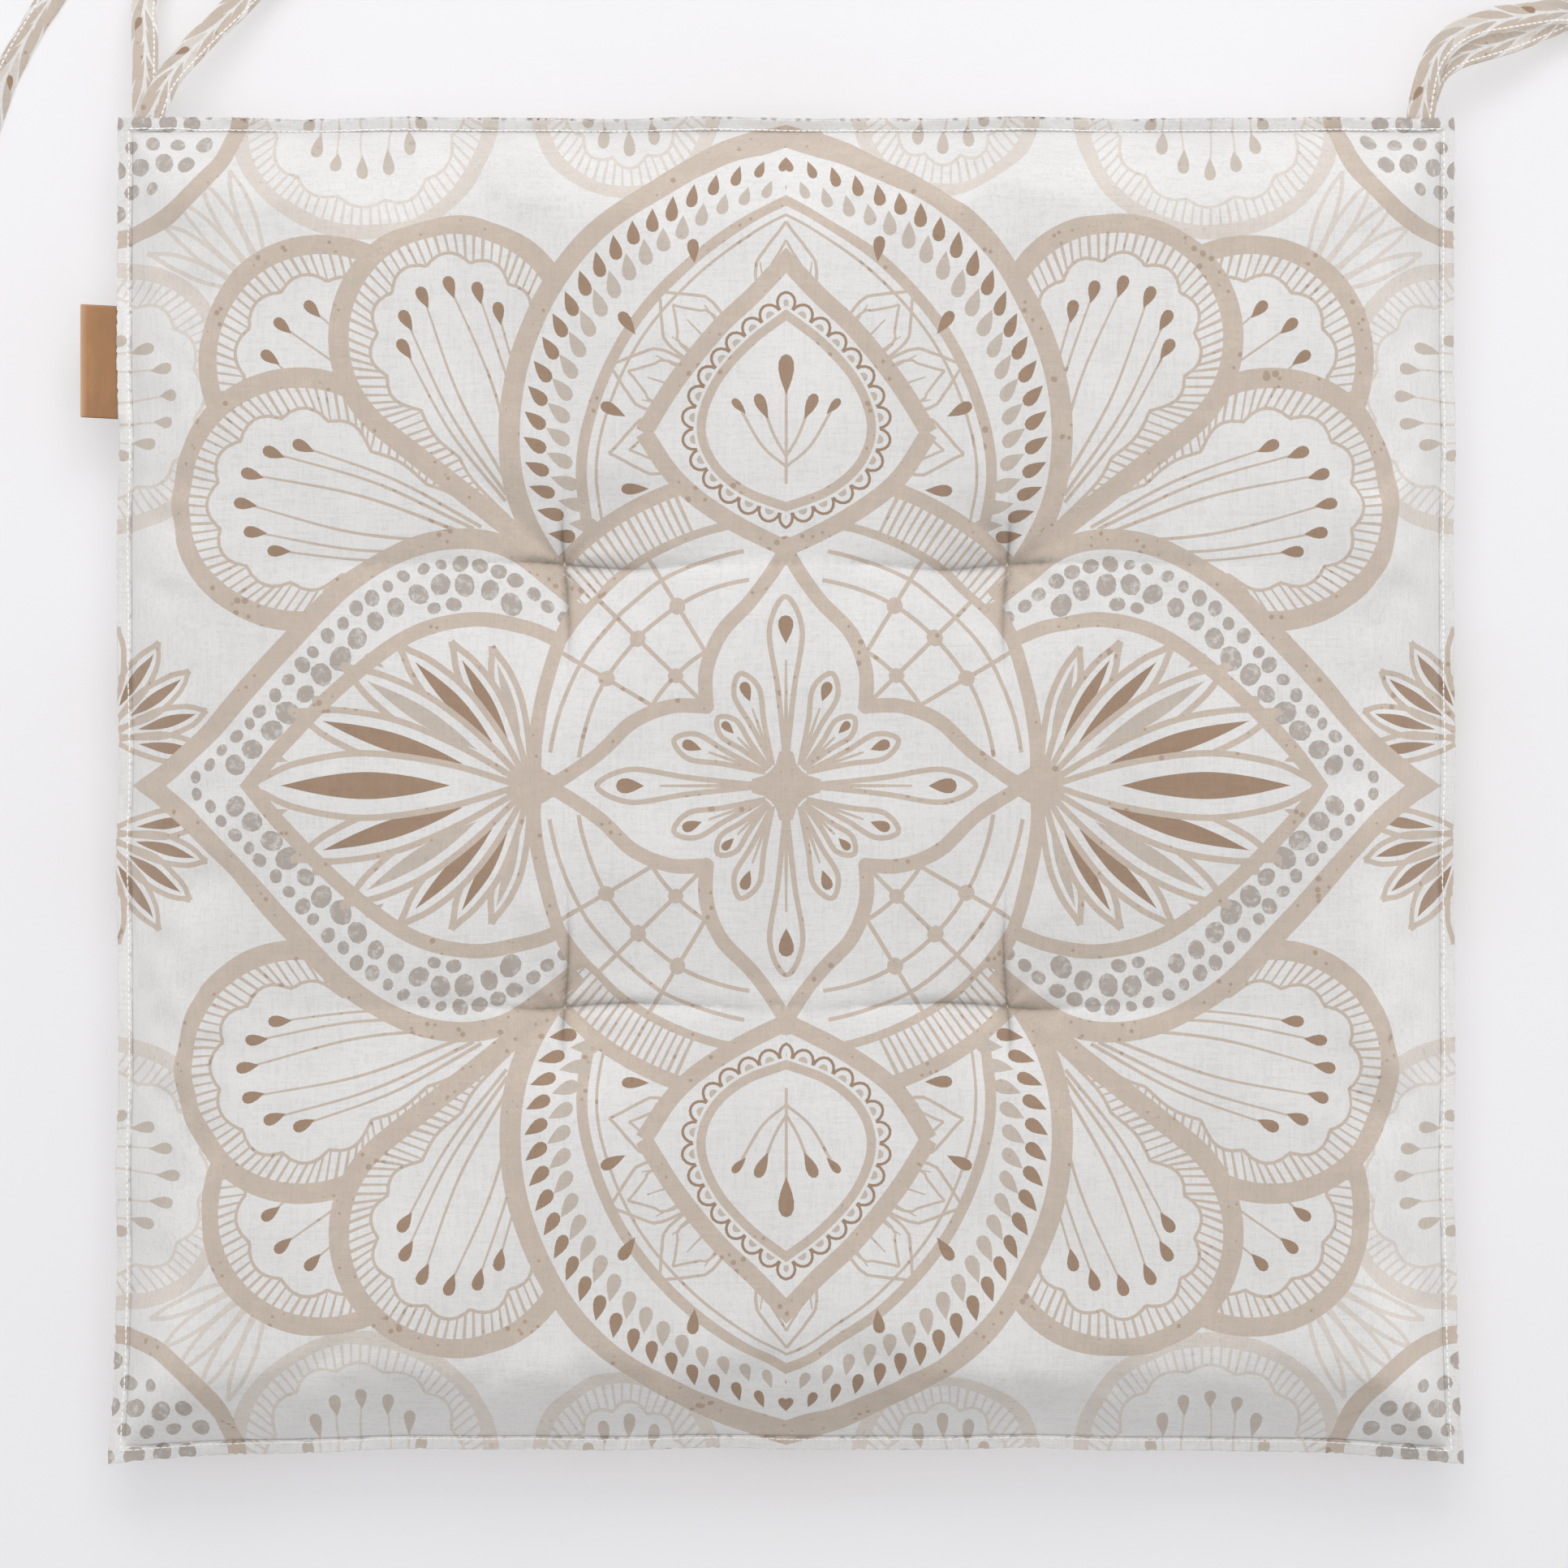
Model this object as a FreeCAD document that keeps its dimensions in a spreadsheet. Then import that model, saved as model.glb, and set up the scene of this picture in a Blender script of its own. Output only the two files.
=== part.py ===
"""Chair seat pad: a square, knife-edged, tufted cushion with a flat sewn border, flat ties and a side label.

Frame: origin at the middle of the underside, on the seat. +Z up, +Y towards the chair's back (the ties),
+X to the right of someone sitting on it. Millimetres.
"""

import FreeCAD
import Part
import Sketcher
import math
import os

from FreeCAD import Placement, Rotation, Vector

doc = FreeCAD.newDocument("SeatPad")

# ---------------------------------------------------------------- driving dimensions

SIZE_VALUES = {
    # outline, over the flat border
    "pad_width": 400,
    "pad_depth": 400,
    "corner_flare": 3,
    "flare_length": 50,
    "flange_width": 4.2,
    # heights above the seat
    "seam_height": 20,
    "crown_height": 47,
    "round_above": 24,
    "round_below": 17,
    "edge_stand": 1.6,
    # cloth
    "cloth_thickness": 0.6,
    "flange_ply": 1.0,
    "seam_gap": 0.6,
    # filling
    "layer_gap": 0.3,
    "core_margin": 24,
    "tuft_wadding": 3,
    # tufts
    "tuft_spacing_across": 132,
    "tuft_spacing_deep": 132,
    "dent_rim_radius": 24,
    "dent_tip_radius": 3,
    "dent_above": 14,
    "dent_below": 7,
    "dent_overrun": 2,
    "tuft_thread_radius": 0.6,
    "tuft_bar_length": 4.4,
    "tuft_knot_radius": 1.6,
    "hole_clearance": 0.2,
    # sewing threads
    "stitch_inset": 3.5,
    "stitch_width": 0.5,
    "stitch_rise": 0.3,
    "edge_seam_inset": 0.8,
    "touch_gap": 0.05,
    # side label
    "label_length": 34.5,
    "label_reach": 11.5,
    "label_thickness": 2.4,
    "label_centre": 127,
    "label_gap": 0.3,
    "label_tail_length": 3.5,
    # ties
    "tie_width": 8,
    "tie_thickness": 1.2,
    "tie_root_inset": 9.5,
    "tie_tail_length": 3,
    "tie_stitch_inset": 1.3,
}

sheet = doc.addObject("Spreadsheet::Sheet", "Sizes")
for row, (word, value) in enumerate(SIZE_VALUES.items(), start=1):
    sheet.set(f"A{row}", word)
    sheet.set(f"B{row}", str(value))
    sheet.setAlias(f"B{row}", word)
doc.recompute()


def size(word):
    """A driving dimension, read back from the sheet."""
    return float(sheet.get(word))


def bind(thing, **expressions):
    """Binds properties to sheet expressions; a double underscore in a name stands for a dot."""
    for name, expression in expressions.items():
        thing.setExpression(name.replace("__", "."), expression)


# Expressions that several pieces share.
HALF_WIDTH = "Sizes.pad_width / 2"
HALF_DEPTH = "Sizes.pad_depth / 2"
CAVITY = "Sizes.cloth_thickness"
FILLING = "(Sizes.cloth_thickness + Sizes.layer_gap)"
UPPER_FACE = "(Sizes.seam_height + Sizes.seam_gap / 2)"
LOWER_FACE = "(Sizes.seam_height - Sizes.seam_gap / 2)"
CORE_BOTTOM = "(Sizes.dent_below + Sizes.cloth_thickness + 2 * Sizes.layer_gap + Sizes.tuft_wadding)"
CORE_TOP = (
    "(Sizes.crown_height - Sizes.dent_above - Sizes.cloth_thickness"
    " - 2 * Sizes.layer_gap - Sizes.tuft_wadding)"
)
ROUND_ABOVE = f"min(Sizes.round_above; Sizes.crown_height - {UPPER_FACE} - Sizes.edge_stand)"
ROUND_BELOW = f"min(Sizes.round_below; {LOWER_FACE} - Sizes.edge_stand)"
TUFTS = [(side, end) for side in (-1, 1) for end in (-1, 1)]
TOLERANCE = 1e-6


# ---------------------------------------------------------------- helpers

def origin_plane(body, role):
    """One of a body's own origin planes."""
    return next(feature for feature in body.Origin.OriginFeatures if feature.Role == role)


def flat_sketch(body, name, height):
    """A sketch parallel to the body's XY plane, at a bound height."""
    sketch = body.newObject("Sketcher::SketchObject", name)
    sketch.AttachmentSupport = [(origin_plane(body, "XY_Plane"), "")]
    sketch.MapMode = "FlatFace"
    bind(sketch, AttachmentOffset__Base__z=height)
    return sketch


def add_polygon(sketch, corners):
    """Straight sides through corners, each ((sign, x expression), (sign, y expression)) from the origin."""
    first = sketch.GeometryCount
    count = len(corners)
    # Rough places on the right side of each axis; the bound distances then set them.
    rough = [
        Vector(x_sign * (100 + 10 * place), y_sign * (100 + 7 * place), 0)
        for place, ((x_sign, _), (y_sign, _)) in enumerate(corners)
    ]
    for place in range(count):
        sketch.addGeometry(Part.LineSegment(rough[place], rough[(place + 1) % count]), False)
    for place in range(count):
        following = first + (place + 1) % count
        sketch.addConstraint(Sketcher.Constraint("Coincident", first + place, 2, following, 1))
    for place, corner in enumerate(corners):
        spot = rough[place]
        for kind, (sign, expression), distance in (
            ("DistanceX", corner[0], abs(spot.x)),
            ("DistanceY", corner[1], abs(spot.y)),
        ):
            ends = ((-1, 1), (first + place, 1))
            if sign < 0:
                ends = ends[::-1]
            constraint = Sketcher.Constraint(kind, *ends[0], *ends[1], distance)
            index = sketch.addConstraint(constraint)
            sketch.setExpression(f"Constraints[{index}]", expression)


def add_rectangle(sketch, half_width, half_depth):
    """A centred rectangle of bound half sizes."""
    signs = ((-1, -1), (1, -1), (1, 1), (-1, 1))
    add_polygon(sketch, [((x, half_width), (y, half_depth)) for x, y in signs])


def padded(body, sketch, length):
    """Pads a sketch upwards by a bound length."""
    pad = body.newObject("PartDesign::Pad", body.Name + "_pad")
    pad.Profile = sketch
    bind(pad, Length=length)
    return pad


def ring_body(name, height, thickness, outer_inset, inner_inset):
    """A flat square ring, its outer and inner edges set in from the pad's outline."""
    body = doc.addObject("PartDesign::Body", name)
    sketch = flat_sketch(body, name + "_outline", height)
    for inset in (outer_inset, inner_inset):
        add_rectangle(sketch, f"{HALF_WIDTH} - {inset}", f"{HALF_DEPTH} - {inset}")
    padded(body, sketch, thickness)
    return body


def cut(name, base, tool):
    """base with tool taken away."""
    result = doc.addObject("Part::Cut", name)
    result.Base = base
    result.Tool = tool
    return result


def fused(name, pieces):
    """The pieces as one solid."""
    result = doc.addObject("Part::MultiFuse", name)
    result.Shapes = pieces
    result.Refine = True
    return result


def tuft_place(thing, side, end):
    """Puts a primitive on the axis of one tuft."""
    bind(
        thing,
        Placement__Base__x=f"{side} * Sizes.tuft_spacing_across / 2",
        Placement__Base__y=f"{end} * Sizes.tuft_spacing_deep / 2",
    )


def rounded_block(name, inset, bottom, top, radius, round_top):
    """The filled space of one half of the pad: a block set in from the seam, rounded along one face."""
    body = doc.addObject("PartDesign::Body", name)
    block = body.newObject("PartDesign::AdditiveBox", name + "_block")
    half_width = f"({HALF_WIDTH} - Sizes.flange_width - {inset})"
    half_depth = f"({HALF_DEPTH} - Sizes.flange_width - {inset})"
    bind(
        block,
        Length=f"2 * {half_width}",
        Width=f"2 * {half_depth}",
        Height=f"{top} - {bottom}",
        Placement__Base__x=f"-{half_width}",
        Placement__Base__y=f"-{half_depth}",
        Placement__Base__z=bottom,
    )
    doc.recompute()
    box = block.Shape.BoundBox
    level = box.ZMax if round_top else box.ZMin
    edges = [
        f"Edge{number}"
        for number, edge in enumerate(block.Shape.Edges, start=1)
        if all(abs(vertex.Z - level) < TOLERANCE for vertex in edge.Vertexes)
    ]
    rounding = body.newObject("PartDesign::Fillet", name + "_rounding")
    rounding.Base = (block, edges)
    bind(rounding, Radius=f"{radius} - {inset}")
    body.Tip = rounding
    return body


def dents(name, inset, above):
    """The four tuft hollows of one face, each a cone that a layer at this inset keeps clear of."""
    cones = []
    for number, (side, end) in enumerate(TUFTS, start=1):
        cone = doc.addObject("Part::Cone", f"{name}_{number}")
        tuft_place(cone, side, end)
        rim = f"Sizes.dent_rim_radius + {inset}"
        tip = f"Sizes.dent_tip_radius + {inset}"
        if above:
            bind(
                cone,
                Radius1=tip,
                Radius2=rim,
                Height=f"Sizes.dent_above + {inset} + Sizes.dent_overrun",
                Placement__Base__z=f"Sizes.crown_height - Sizes.dent_above - {inset}",
            )
        else:
            bind(
                cone,
                Radius1=rim,
                Radius2=tip,
                Height=f"Sizes.dent_below + {inset} + Sizes.dent_overrun",
                Placement__Base__z="-Sizes.dent_overrun",
            )
        cones.append(cone)
    group = doc.addObject("Part::Compound", name)
    group.Links = cones
    return group


def dented_block(name, inset, above):
    """One half of the pad's filled space at an inset, with its tuft hollows taken out."""
    if above:
        crown = f"(Sizes.crown_height - {inset})"
        block = rounded_block(name + "_space", inset, UPPER_FACE, crown, ROUND_ABOVE, True)
    else:
        block = rounded_block(name + "_space", inset, inset, LOWER_FACE, ROUND_BELOW, False)
    return cut(name + "_dented", block, dents(name + "_dents", inset, above))


def thread_holes(name):
    """Four holes right through the pad, for the tuft threads."""
    holes = []
    for number, (side, end) in enumerate(TUFTS, start=1):
        hole = doc.addObject("Part::Cylinder", f"{name}_{number}")
        tuft_place(hole, side, end)
        bind(hole, Radius="Sizes.tuft_thread_radius + Sizes.hole_clearance", Height="Sizes.crown_height")
        holes.append(hole)
    group = doc.addObject("Part::Compound", name)
    group.Links = holes
    return group


# ---------------------------------------------------------------- covers

def flange(name, height):
    """One ply of the flat border: straight sides that flare out at the two front corners."""
    body = doc.addObject("PartDesign::Body", name)
    sketch = flat_sketch(body, name + "_outline", height)
    wide = (f"{HALF_WIDTH}", f"{HALF_WIDTH} + Sizes.corner_flare", f"{HALF_WIDTH} - Sizes.flare_length")
    deep = (f"{HALF_DEPTH}", f"{HALF_DEPTH} + Sizes.corner_flare", f"{HALF_DEPTH} - Sizes.flare_length")
    right_side = [
        ((1, wide[2]), (-1, deep[0])),
        ((1, wide[1]), (-1, deep[1])),
        ((1, wide[0]), (-1, deep[2])),
        ((1, wide[0]), (1, deep[0])),
    ]
    left_side = [((-1, across[1]), along) for across, along in reversed(right_side)]
    add_polygon(sketch, right_side + left_side)
    inside = f"(Sizes.flange_width + {CAVITY})"
    add_rectangle(sketch, f"{HALF_WIDTH} - {inside}", f"{HALF_DEPTH} - {inside}")
    padded(body, sketch, "Sizes.flange_ply")
    return body


def cover(name, above):
    """A cloth panel: a thin shell over one face of the filling, with its ply of the flat border."""
    outside = dented_block(name + "_out", "0", above)
    inside = dented_block(name + "_in", CAVITY, above)
    shell = cut(name + "_shell", outside, inside)
    height = UPPER_FACE if above else f"{LOWER_FACE} - Sizes.flange_ply"
    whole = fused(name + "_sewn", [shell, flange(name + "_flange", height)])
    return cut(name, whole, thread_holes(name + "_holes"))


# ---------------------------------------------------------------- filling

def core_space(name, clearance):
    """The foam slab, or the room it takes with a clearance all round."""
    slab = doc.addObject("Part::Box", name)
    half_width = f"({HALF_WIDTH} - Sizes.core_margin + {clearance})"
    half_depth = f"({HALF_DEPTH} - Sizes.core_margin + {clearance})"
    bind(
        slab,
        Length=f"2 * {half_width}",
        Width=f"2 * {half_depth}",
        Height=f"{CORE_TOP} - {CORE_BOTTOM} + 2 * {clearance}",
        Placement__Base__x=f"-{half_width}",
        Placement__Base__y=f"-{half_depth}",
        Placement__Base__z=f"{CORE_BOTTOM} - {clearance}",
    )
    return slab


def wadding(name, above):
    """A fleece layer between one cover and the foam, wrapped down over the foam's sides to the seam."""
    room = core_space(name + "_room", "Sizes.layer_gap")
    layer = cut(name + "_wrap", dented_block(name + "_out", FILLING, above), room)
    return cut(name, layer, thread_holes(name + "_holes"))


def foam_core(name):
    """The foam slab, pierced for the tuft threads."""
    return cut(name, core_space(name + "_slab", "0"), thread_holes(name + "_holes"))


# ---------------------------------------------------------------- threads

def tuft_thread(name, side, end):
    """A thread right through the pad: a short bar across the top dent and a knot under the bottom one."""
    bar_height = "Sizes.crown_height - Sizes.dent_above + Sizes.touch_gap + Sizes.tuft_thread_radius"
    knot_height = "Sizes.dent_below - Sizes.touch_gap - Sizes.tuft_knot_radius"
    strand = doc.addObject("Part::Cylinder", name + "_strand")
    tuft_place(strand, side, end)
    bind(
        strand,
        Radius="Sizes.tuft_thread_radius",
        Height=f"{bar_height} - ({knot_height})",
        Placement__Base__z=knot_height,
    )
    bar = doc.addObject("Part::Cylinder", name + "_bar")
    bar.Placement = Placement(Vector(0, 0, 0), Rotation(Vector(0, 1, 0), 90))
    bind(
        bar,
        Radius="Sizes.tuft_thread_radius",
        Height="Sizes.tuft_bar_length",
        Placement__Base__x=f"{side} * Sizes.tuft_spacing_across / 2 - Sizes.tuft_bar_length / 2",
        Placement__Base__y=f"{end} * Sizes.tuft_spacing_deep / 2",
        Placement__Base__z=bar_height,
    )
    knot = doc.addObject("Part::Sphere", name + "_knot")
    tuft_place(knot, side, end)
    bind(knot, Radius="Sizes.tuft_knot_radius", Placement__Base__z=knot_height)
    return fused(name, [strand, bar, knot])


def border_thread(name, height):
    """A line of sewing thread along the root of the border, all round."""
    outer = "Sizes.stitch_inset"
    return ring_body(name, height, "Sizes.stitch_rise", outer, f"({outer} + Sizes.stitch_width)")


def edge_seam_thread(name):
    """The hidden seam that joins the two covers, between the plies at the very edge of the border."""
    outer = "Sizes.edge_seam_inset"
    height = f"{LOWER_FACE} + Sizes.touch_gap"
    return ring_body(
        name, height, "Sizes.seam_gap - 2 * Sizes.touch_gap", outer, f"({outer} + Sizes.stitch_width)"
    )


# ---------------------------------------------------------------- side label

def label_box(name, start, reach):
    """A flat stretch of the label, from start to start + reach outside the pad's left edge."""
    plate = doc.addObject("Part::Box", name)
    bind(
        plate,
        Length=reach,
        Width="Sizes.label_length",
        Height="Sizes.label_thickness",
        Placement__Base__x=f"-{HALF_WIDTH} - ({start}) - ({reach})",
        Placement__Base__y="Sizes.label_centre - Sizes.label_length / 2",
        Placement__Base__z="Sizes.seam_height - Sizes.label_thickness / 2",
    )
    return plate


def label_roll(name, distance):
    """A round end of the label, its axis along the pad's edge."""
    roll = doc.addObject("Part::Cylinder", name)
    roll.Placement = Placement(Vector(0, 0, 0), Rotation(Vector(1, 0, 0), -90))
    bind(
        roll,
        Radius="Sizes.label_thickness / 2",
        Height="Sizes.label_length",
        Placement__Base__x=f"-{HALF_WIDTH} - ({distance})",
        Placement__Base__y="Sizes.label_centre - Sizes.label_length / 2",
        Placement__Base__z="Sizes.seam_height",
    )
    return roll


def label_loop(name):
    """The folded tab outside the border. Its round root turns about the line where it leaves the seam."""
    root = "Sizes.label_gap + Sizes.label_thickness / 2"
    fold = "Sizes.label_reach - Sizes.label_thickness / 2"
    plies = label_box(name + "_plies", root, f"{fold} - ({root})")
    return fused(name, [plies, label_roll(name + "_root", root), label_roll(name + "_fold", fold)])


def label_tail(name):
    """The cut ends of the label, sewn in between the plies of the border."""
    return label_box(name, "-Sizes.label_tail_length", "Sizes.label_tail_length")


# ---------------------------------------------------------------- ties

# Each tie's route: (across, back) from its root in the border, and height above the seat.
TIE_ROUTES = {
    "tie_left_lower": (
        -1,
        [
            (-1.0, 0.0, 19.2),
            (-1.8, 12.5, 18.7),
            (-1.9, 26.0, 14.8),
            (-3.3, 40.5, 9.0),
            (3.9, 55.3, 4.4),
            (18.0, 63.8, 1.7),
            (35.0, 63.5, 0.7),
            (56.5, 60.5, 0.7),
            (80.5, 61.5, 0.7),
            (106.5, 65.0, 0.7),
            (133.5, 66.0, 0.7),
            (159.5, 63.5, 0.7),
            (183.5, 62.5, 0.7),
            (207.5, 65.0, 0.7),
            (230.5, 66.5, 0.7),
            (242.5, 65.7, 0.7),
        ],
    ),
    "tie_left_upper": (
        -1,
        [
            (-0.5, 0.0, 20.8),
            (2.5, 11.0, 21.4),
            (9.7, 21.2, 18.3),
            (22.0, 34.5, 12.5),
            (39.0, 51.0, 7.4),
            (57.6, 67.5, 4.6),
            (60.5, 86.8, 1.9),
            (50.8, 103.7, 0.7),
            (32.7, 110.9, 0.7),
            (14.0, 105.3, 0.7),
            (-5.5, 77.5, 0.7),
            (-23.5, 53.0, 0.7),
            (-39.3, 29.3, 0.7),
            (-49.3, 9.0, 0.7),
            (-53.3, -8.0, 0.7),
        ],
    ),
    "tie_right_lower": (
        1,
        [
            (-1.0, 0.0, 19.2),
            (0.8, 11.5, 19.6),
            (8.0, 21.5, 17.8),
            (21.5, 25.2, 13.6),
            (36.0, 30.5, 8.6),
            (51.5, 38.0, 4.4),
            (69.5, 42.0, 1.6),
            (86.5, 35.0, 0.7),
            (97.5, 20.0, 0.7),
            (100.8, 1.6, 0.7),
            (99.2, -19.0, 0.7),
            (95.5, -41.0, 0.7),
            (94.0, -65.0, 0.7),
            (95.5, -89.0, 0.7),
            (98.5, -115.0, 0.7),
            (99.5, -141.0, 0.7),
            (98.5, -152.0, 0.7),
        ],
    ),
    "tie_right_upper": (
        1,
        [
            (-0.8, 0.0, 20.8),
            (0.5, 12.6, 22.2),
            (5.5, 25.0, 21.6),
            (16.0, 31.8, 19.0),
            (30.5, 34.0, 14.8),
            (45.5, 37.0, 10.4),
            (62.4, 31.5, 5.6),
            (74.0, 18.0, 2.2),
            (77.7, 0.0, 0.7),
            (77.1, -19.0, 0.7),
            (74.4, -40.5, 0.7),
            (73.5, -66.0, 0.7),
            (75.5, -91.0, 0.7),
            (78.0, -117.0, 0.7),
            (78.0, -145.0, 0.7),
            (75.3, -176.0, 0.7),
        ],
    ),
}
RUN_SHARE = 0.45


def rounded_path(points):
    """Straight runs joined by tangent arcs, each as large as its two runs allow, and the arcs' radii."""
    edges = []
    radii = []
    start = points[0]
    for before, corner, after in zip(points, points[1:], points[2:]):
        inward = (before - corner).normalize()
        outward = (after - corner).normalize()
        reach = RUN_SHARE * min((before - corner).Length, (after - corner).Length)
        half_turn = (math.pi - inward.getAngle(outward)) / 2
        radius = reach / math.tan(half_turn)
        first = corner + inward * reach
        last = corner + outward * reach
        bisector = (inward + outward).normalize()
        centre = corner + bisector * math.hypot(reach, radius)
        middle = centre - bisector * radius
        edges.append(Part.LineSegment(start, first).toShape())
        edges.append(Part.Arc(first, middle, last).toShape())
        radii.append(radius)
        start = last
    edges.append(Part.LineSegment(start, points[-1]).toShape())
    return Part.Wire(edges), radii


def swept_bar(path, width, thickness, aside=0.0, rise=0.0):
    """A flat bar along a path, its width level; aside and rise move its middle off the path."""
    begin = path.OrderedEdges[0].valueAt(path.OrderedEdges[0].FirstParameter)
    ahead = path.OrderedEdges[0].tangentAt(path.OrderedEdges[0].FirstParameter)
    across = ahead.cross(Vector(0, 0, 1)).normalize()
    upward = across.cross(ahead).normalize()
    corners = [
        begin + across * (aside + side * width / 2) + upward * (rise + end * thickness / 2)
        for side, end in ((-1, -1), (1, -1), (1, 1), (-1, 1))
    ]
    section = Part.makePolygon(corners + corners[:1])
    sweep = Part.BRepOffsetAPI.MakePipeShell(path)
    sweep.setBiNormalMode(Vector(0, 0, 1))
    sweep.add(section)
    sweep.build()
    sweep.makeSolid()
    return sweep.shape()


def tie(name, side, route):
    """A flat fabric tie and the sewing thread along its outer edge."""
    path, radii = rounded_path([Vector(*point) for point in route])
    width = size("tie_width")
    thickness = size("tie_thickness")
    root = Placement(
        Vector(
            side * (size("pad_width") / 2 - size("tie_root_inset")),
            size("pad_depth") / 2 - size("tie_tail_length"),
            0,
        ),
        Rotation(),
    )
    strap = doc.addObject("Part::Feature", name)
    strap.Shape = swept_bar(path, width, thickness)
    strap.Placement = root
    thread = doc.addObject("Part::Feature", name + "_stitch")
    thread.Shape = swept_bar(
        path,
        size("stitch_width"),
        size("stitch_rise"),
        aside=width / 2 - size("tie_stitch_inset"),
        rise=(thickness + size("stitch_rise")) / 2,
    )
    thread.Placement = root
    share = strap.Shape.Volume / (width * thickness * path.Length)
    print(f"{name}: {path.Length:.1f} mm long, swept volume / section x length = {share:.4f}")
    print(f"{name}: arc radii {', '.join(f'{radius:.0f}' for radius in radii)} mm")
    return [strap, thread]


# ---------------------------------------------------------------- the pieces

pieces = [
    cover("top_cover", True),
    cover("bottom_cover", False),
    wadding("upper_wadding", True),
    wadding("lower_wadding", False),
    foam_core("foam_core"),
    border_thread("edge_topstitch", f"{UPPER_FACE} + Sizes.flange_ply"),
    border_thread("edge_bobbin_thread", f"{LOWER_FACE} - Sizes.flange_ply - Sizes.stitch_rise"),
    edge_seam_thread("edge_seam_thread"),
    label_loop("label_loop"),
    label_tail("label_tail"),
]
TUFT_SIDES = {-1: "left", 1: "right"}
TUFT_ENDS = {-1: "front", 1: "back"}
for side, end in TUFTS:
    pieces.append(tuft_thread(f"tuft_thread_{TUFT_ENDS[end]}_{TUFT_SIDES[side]}", side, end))
for name, (side, route) in TIE_ROUTES.items():
    pieces.extend(tie(name, side, route))

doc.recompute()

# ---------------------------------------------------------------- checks and export

for thing in doc.Objects:
    if {"Invalid", "Error"} & set(thing.State):
        raise RuntimeError(f"{thing.Name} did not build: {thing.State}")
for piece in pieces:
    piece.Label = piece.Name
    if piece.Shape.isNull() or not piece.Shape.isValid():
        raise RuntimeError(f"{piece.Label} has no valid shape")

os.makedirs("parts", exist_ok=True)
for piece in pieces:
    piece.Shape.exportStep(f"parts/{piece.Label}.step")
    print(f"{piece.Label}: {len(piece.Shape.Solids)} solid(s), {piece.Shape.Volume:.1f} mm3")
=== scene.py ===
"""Chair seat pad: a printed, tufted, knife-edged cushion with a stitched border, ties and a leather side tab.

Everything is in the frame's own axes. Shapes are worked out in millimetres and made in metres.
"""

import math
import random

import bpy
import numpy as np
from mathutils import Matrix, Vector
from mathutils.geometry import delaunay_2d_cdt


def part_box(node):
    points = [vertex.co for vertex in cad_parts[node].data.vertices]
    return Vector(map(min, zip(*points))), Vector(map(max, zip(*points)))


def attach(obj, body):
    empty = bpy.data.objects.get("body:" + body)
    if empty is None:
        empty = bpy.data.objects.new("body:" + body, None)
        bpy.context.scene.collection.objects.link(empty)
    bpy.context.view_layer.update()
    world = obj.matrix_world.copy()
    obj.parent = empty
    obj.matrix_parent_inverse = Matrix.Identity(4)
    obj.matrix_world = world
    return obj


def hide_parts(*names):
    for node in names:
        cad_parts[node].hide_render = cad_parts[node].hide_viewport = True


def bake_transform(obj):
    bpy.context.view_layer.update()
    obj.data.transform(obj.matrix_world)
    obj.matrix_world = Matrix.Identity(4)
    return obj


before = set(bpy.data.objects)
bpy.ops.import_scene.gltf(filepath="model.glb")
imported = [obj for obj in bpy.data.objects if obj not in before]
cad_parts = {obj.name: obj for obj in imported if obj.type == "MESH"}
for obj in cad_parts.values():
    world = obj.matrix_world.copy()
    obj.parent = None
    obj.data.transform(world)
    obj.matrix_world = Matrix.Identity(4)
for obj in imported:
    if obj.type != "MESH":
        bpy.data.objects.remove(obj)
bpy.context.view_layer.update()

MM = 0.001
SCENE = bpy.context.scene

# ---------------------------------------------------------------- sizes, in millimetres


def extent(node):
    """A CAD node's lowest and highest corner."""
    low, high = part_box(node)
    return low / MM, high / MM


COVER_HIGH = extent("top_cover")[1]
TUFT_LOW, TUFT_HIGH = extent("tuft_thread_back_right")
LABEL_LOW, LABEL_HIGH = extent("label_loop")
SEAM_LOW, SEAM_HIGH = extent("edge_seam_thread")

HALF = 200.0                               # middle of a side, over the border
FLANGE = 4.2                               # border, from the stitched root to its edge
ROOT = HALF - FLANGE                       # where the panels leave the border
LIP = 2.8                                  # cloth that turns in over the border's edge
FAR = HALF + LIP                           # the cloth's own edge
SEAM_Z = (SEAM_LOW.z + SEAM_HIGH.z) / 2    # middle plane of the border
TUFT = (TUFT_LOW.x + TUFT_HIGH.x) / 2      # tufts stand this far from both middle lines
TUFTS = [(side * TUFT, end * TUFT) for end in (-1, 1) for side in (-1, 1)]
CORNER_FLARE = COVER_HIGH.x - HALF
ROOT_PLY = 0.55                            # half the border's thickness at its stitched root
EDGE_PLY = 0.95                            # and at its edge, over the turned-in seam allowance

# ---------------------------------------------------------------- small helpers


def linear(red, green, blue):
    """A display colour, 0 to 255 a channel, as the linear values a shader takes."""
    def channel(value):
        value /= 255
        return value / 12.92 if value <= 0.04045 else ((value + 0.055) / 1.055) ** 2.4
    return (channel(red), channel(green), channel(blue), 1.0)


def smooth(value):
    """Smooth step of values from 0 to 1."""
    value = np.clip(value, 0, 1)
    return value * value * (3 - 2 * value)


def heading(degrees):
    """The unit vector at an angle."""
    return np.array((math.cos(math.radians(degrees)), math.sin(math.radians(degrees))))


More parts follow.
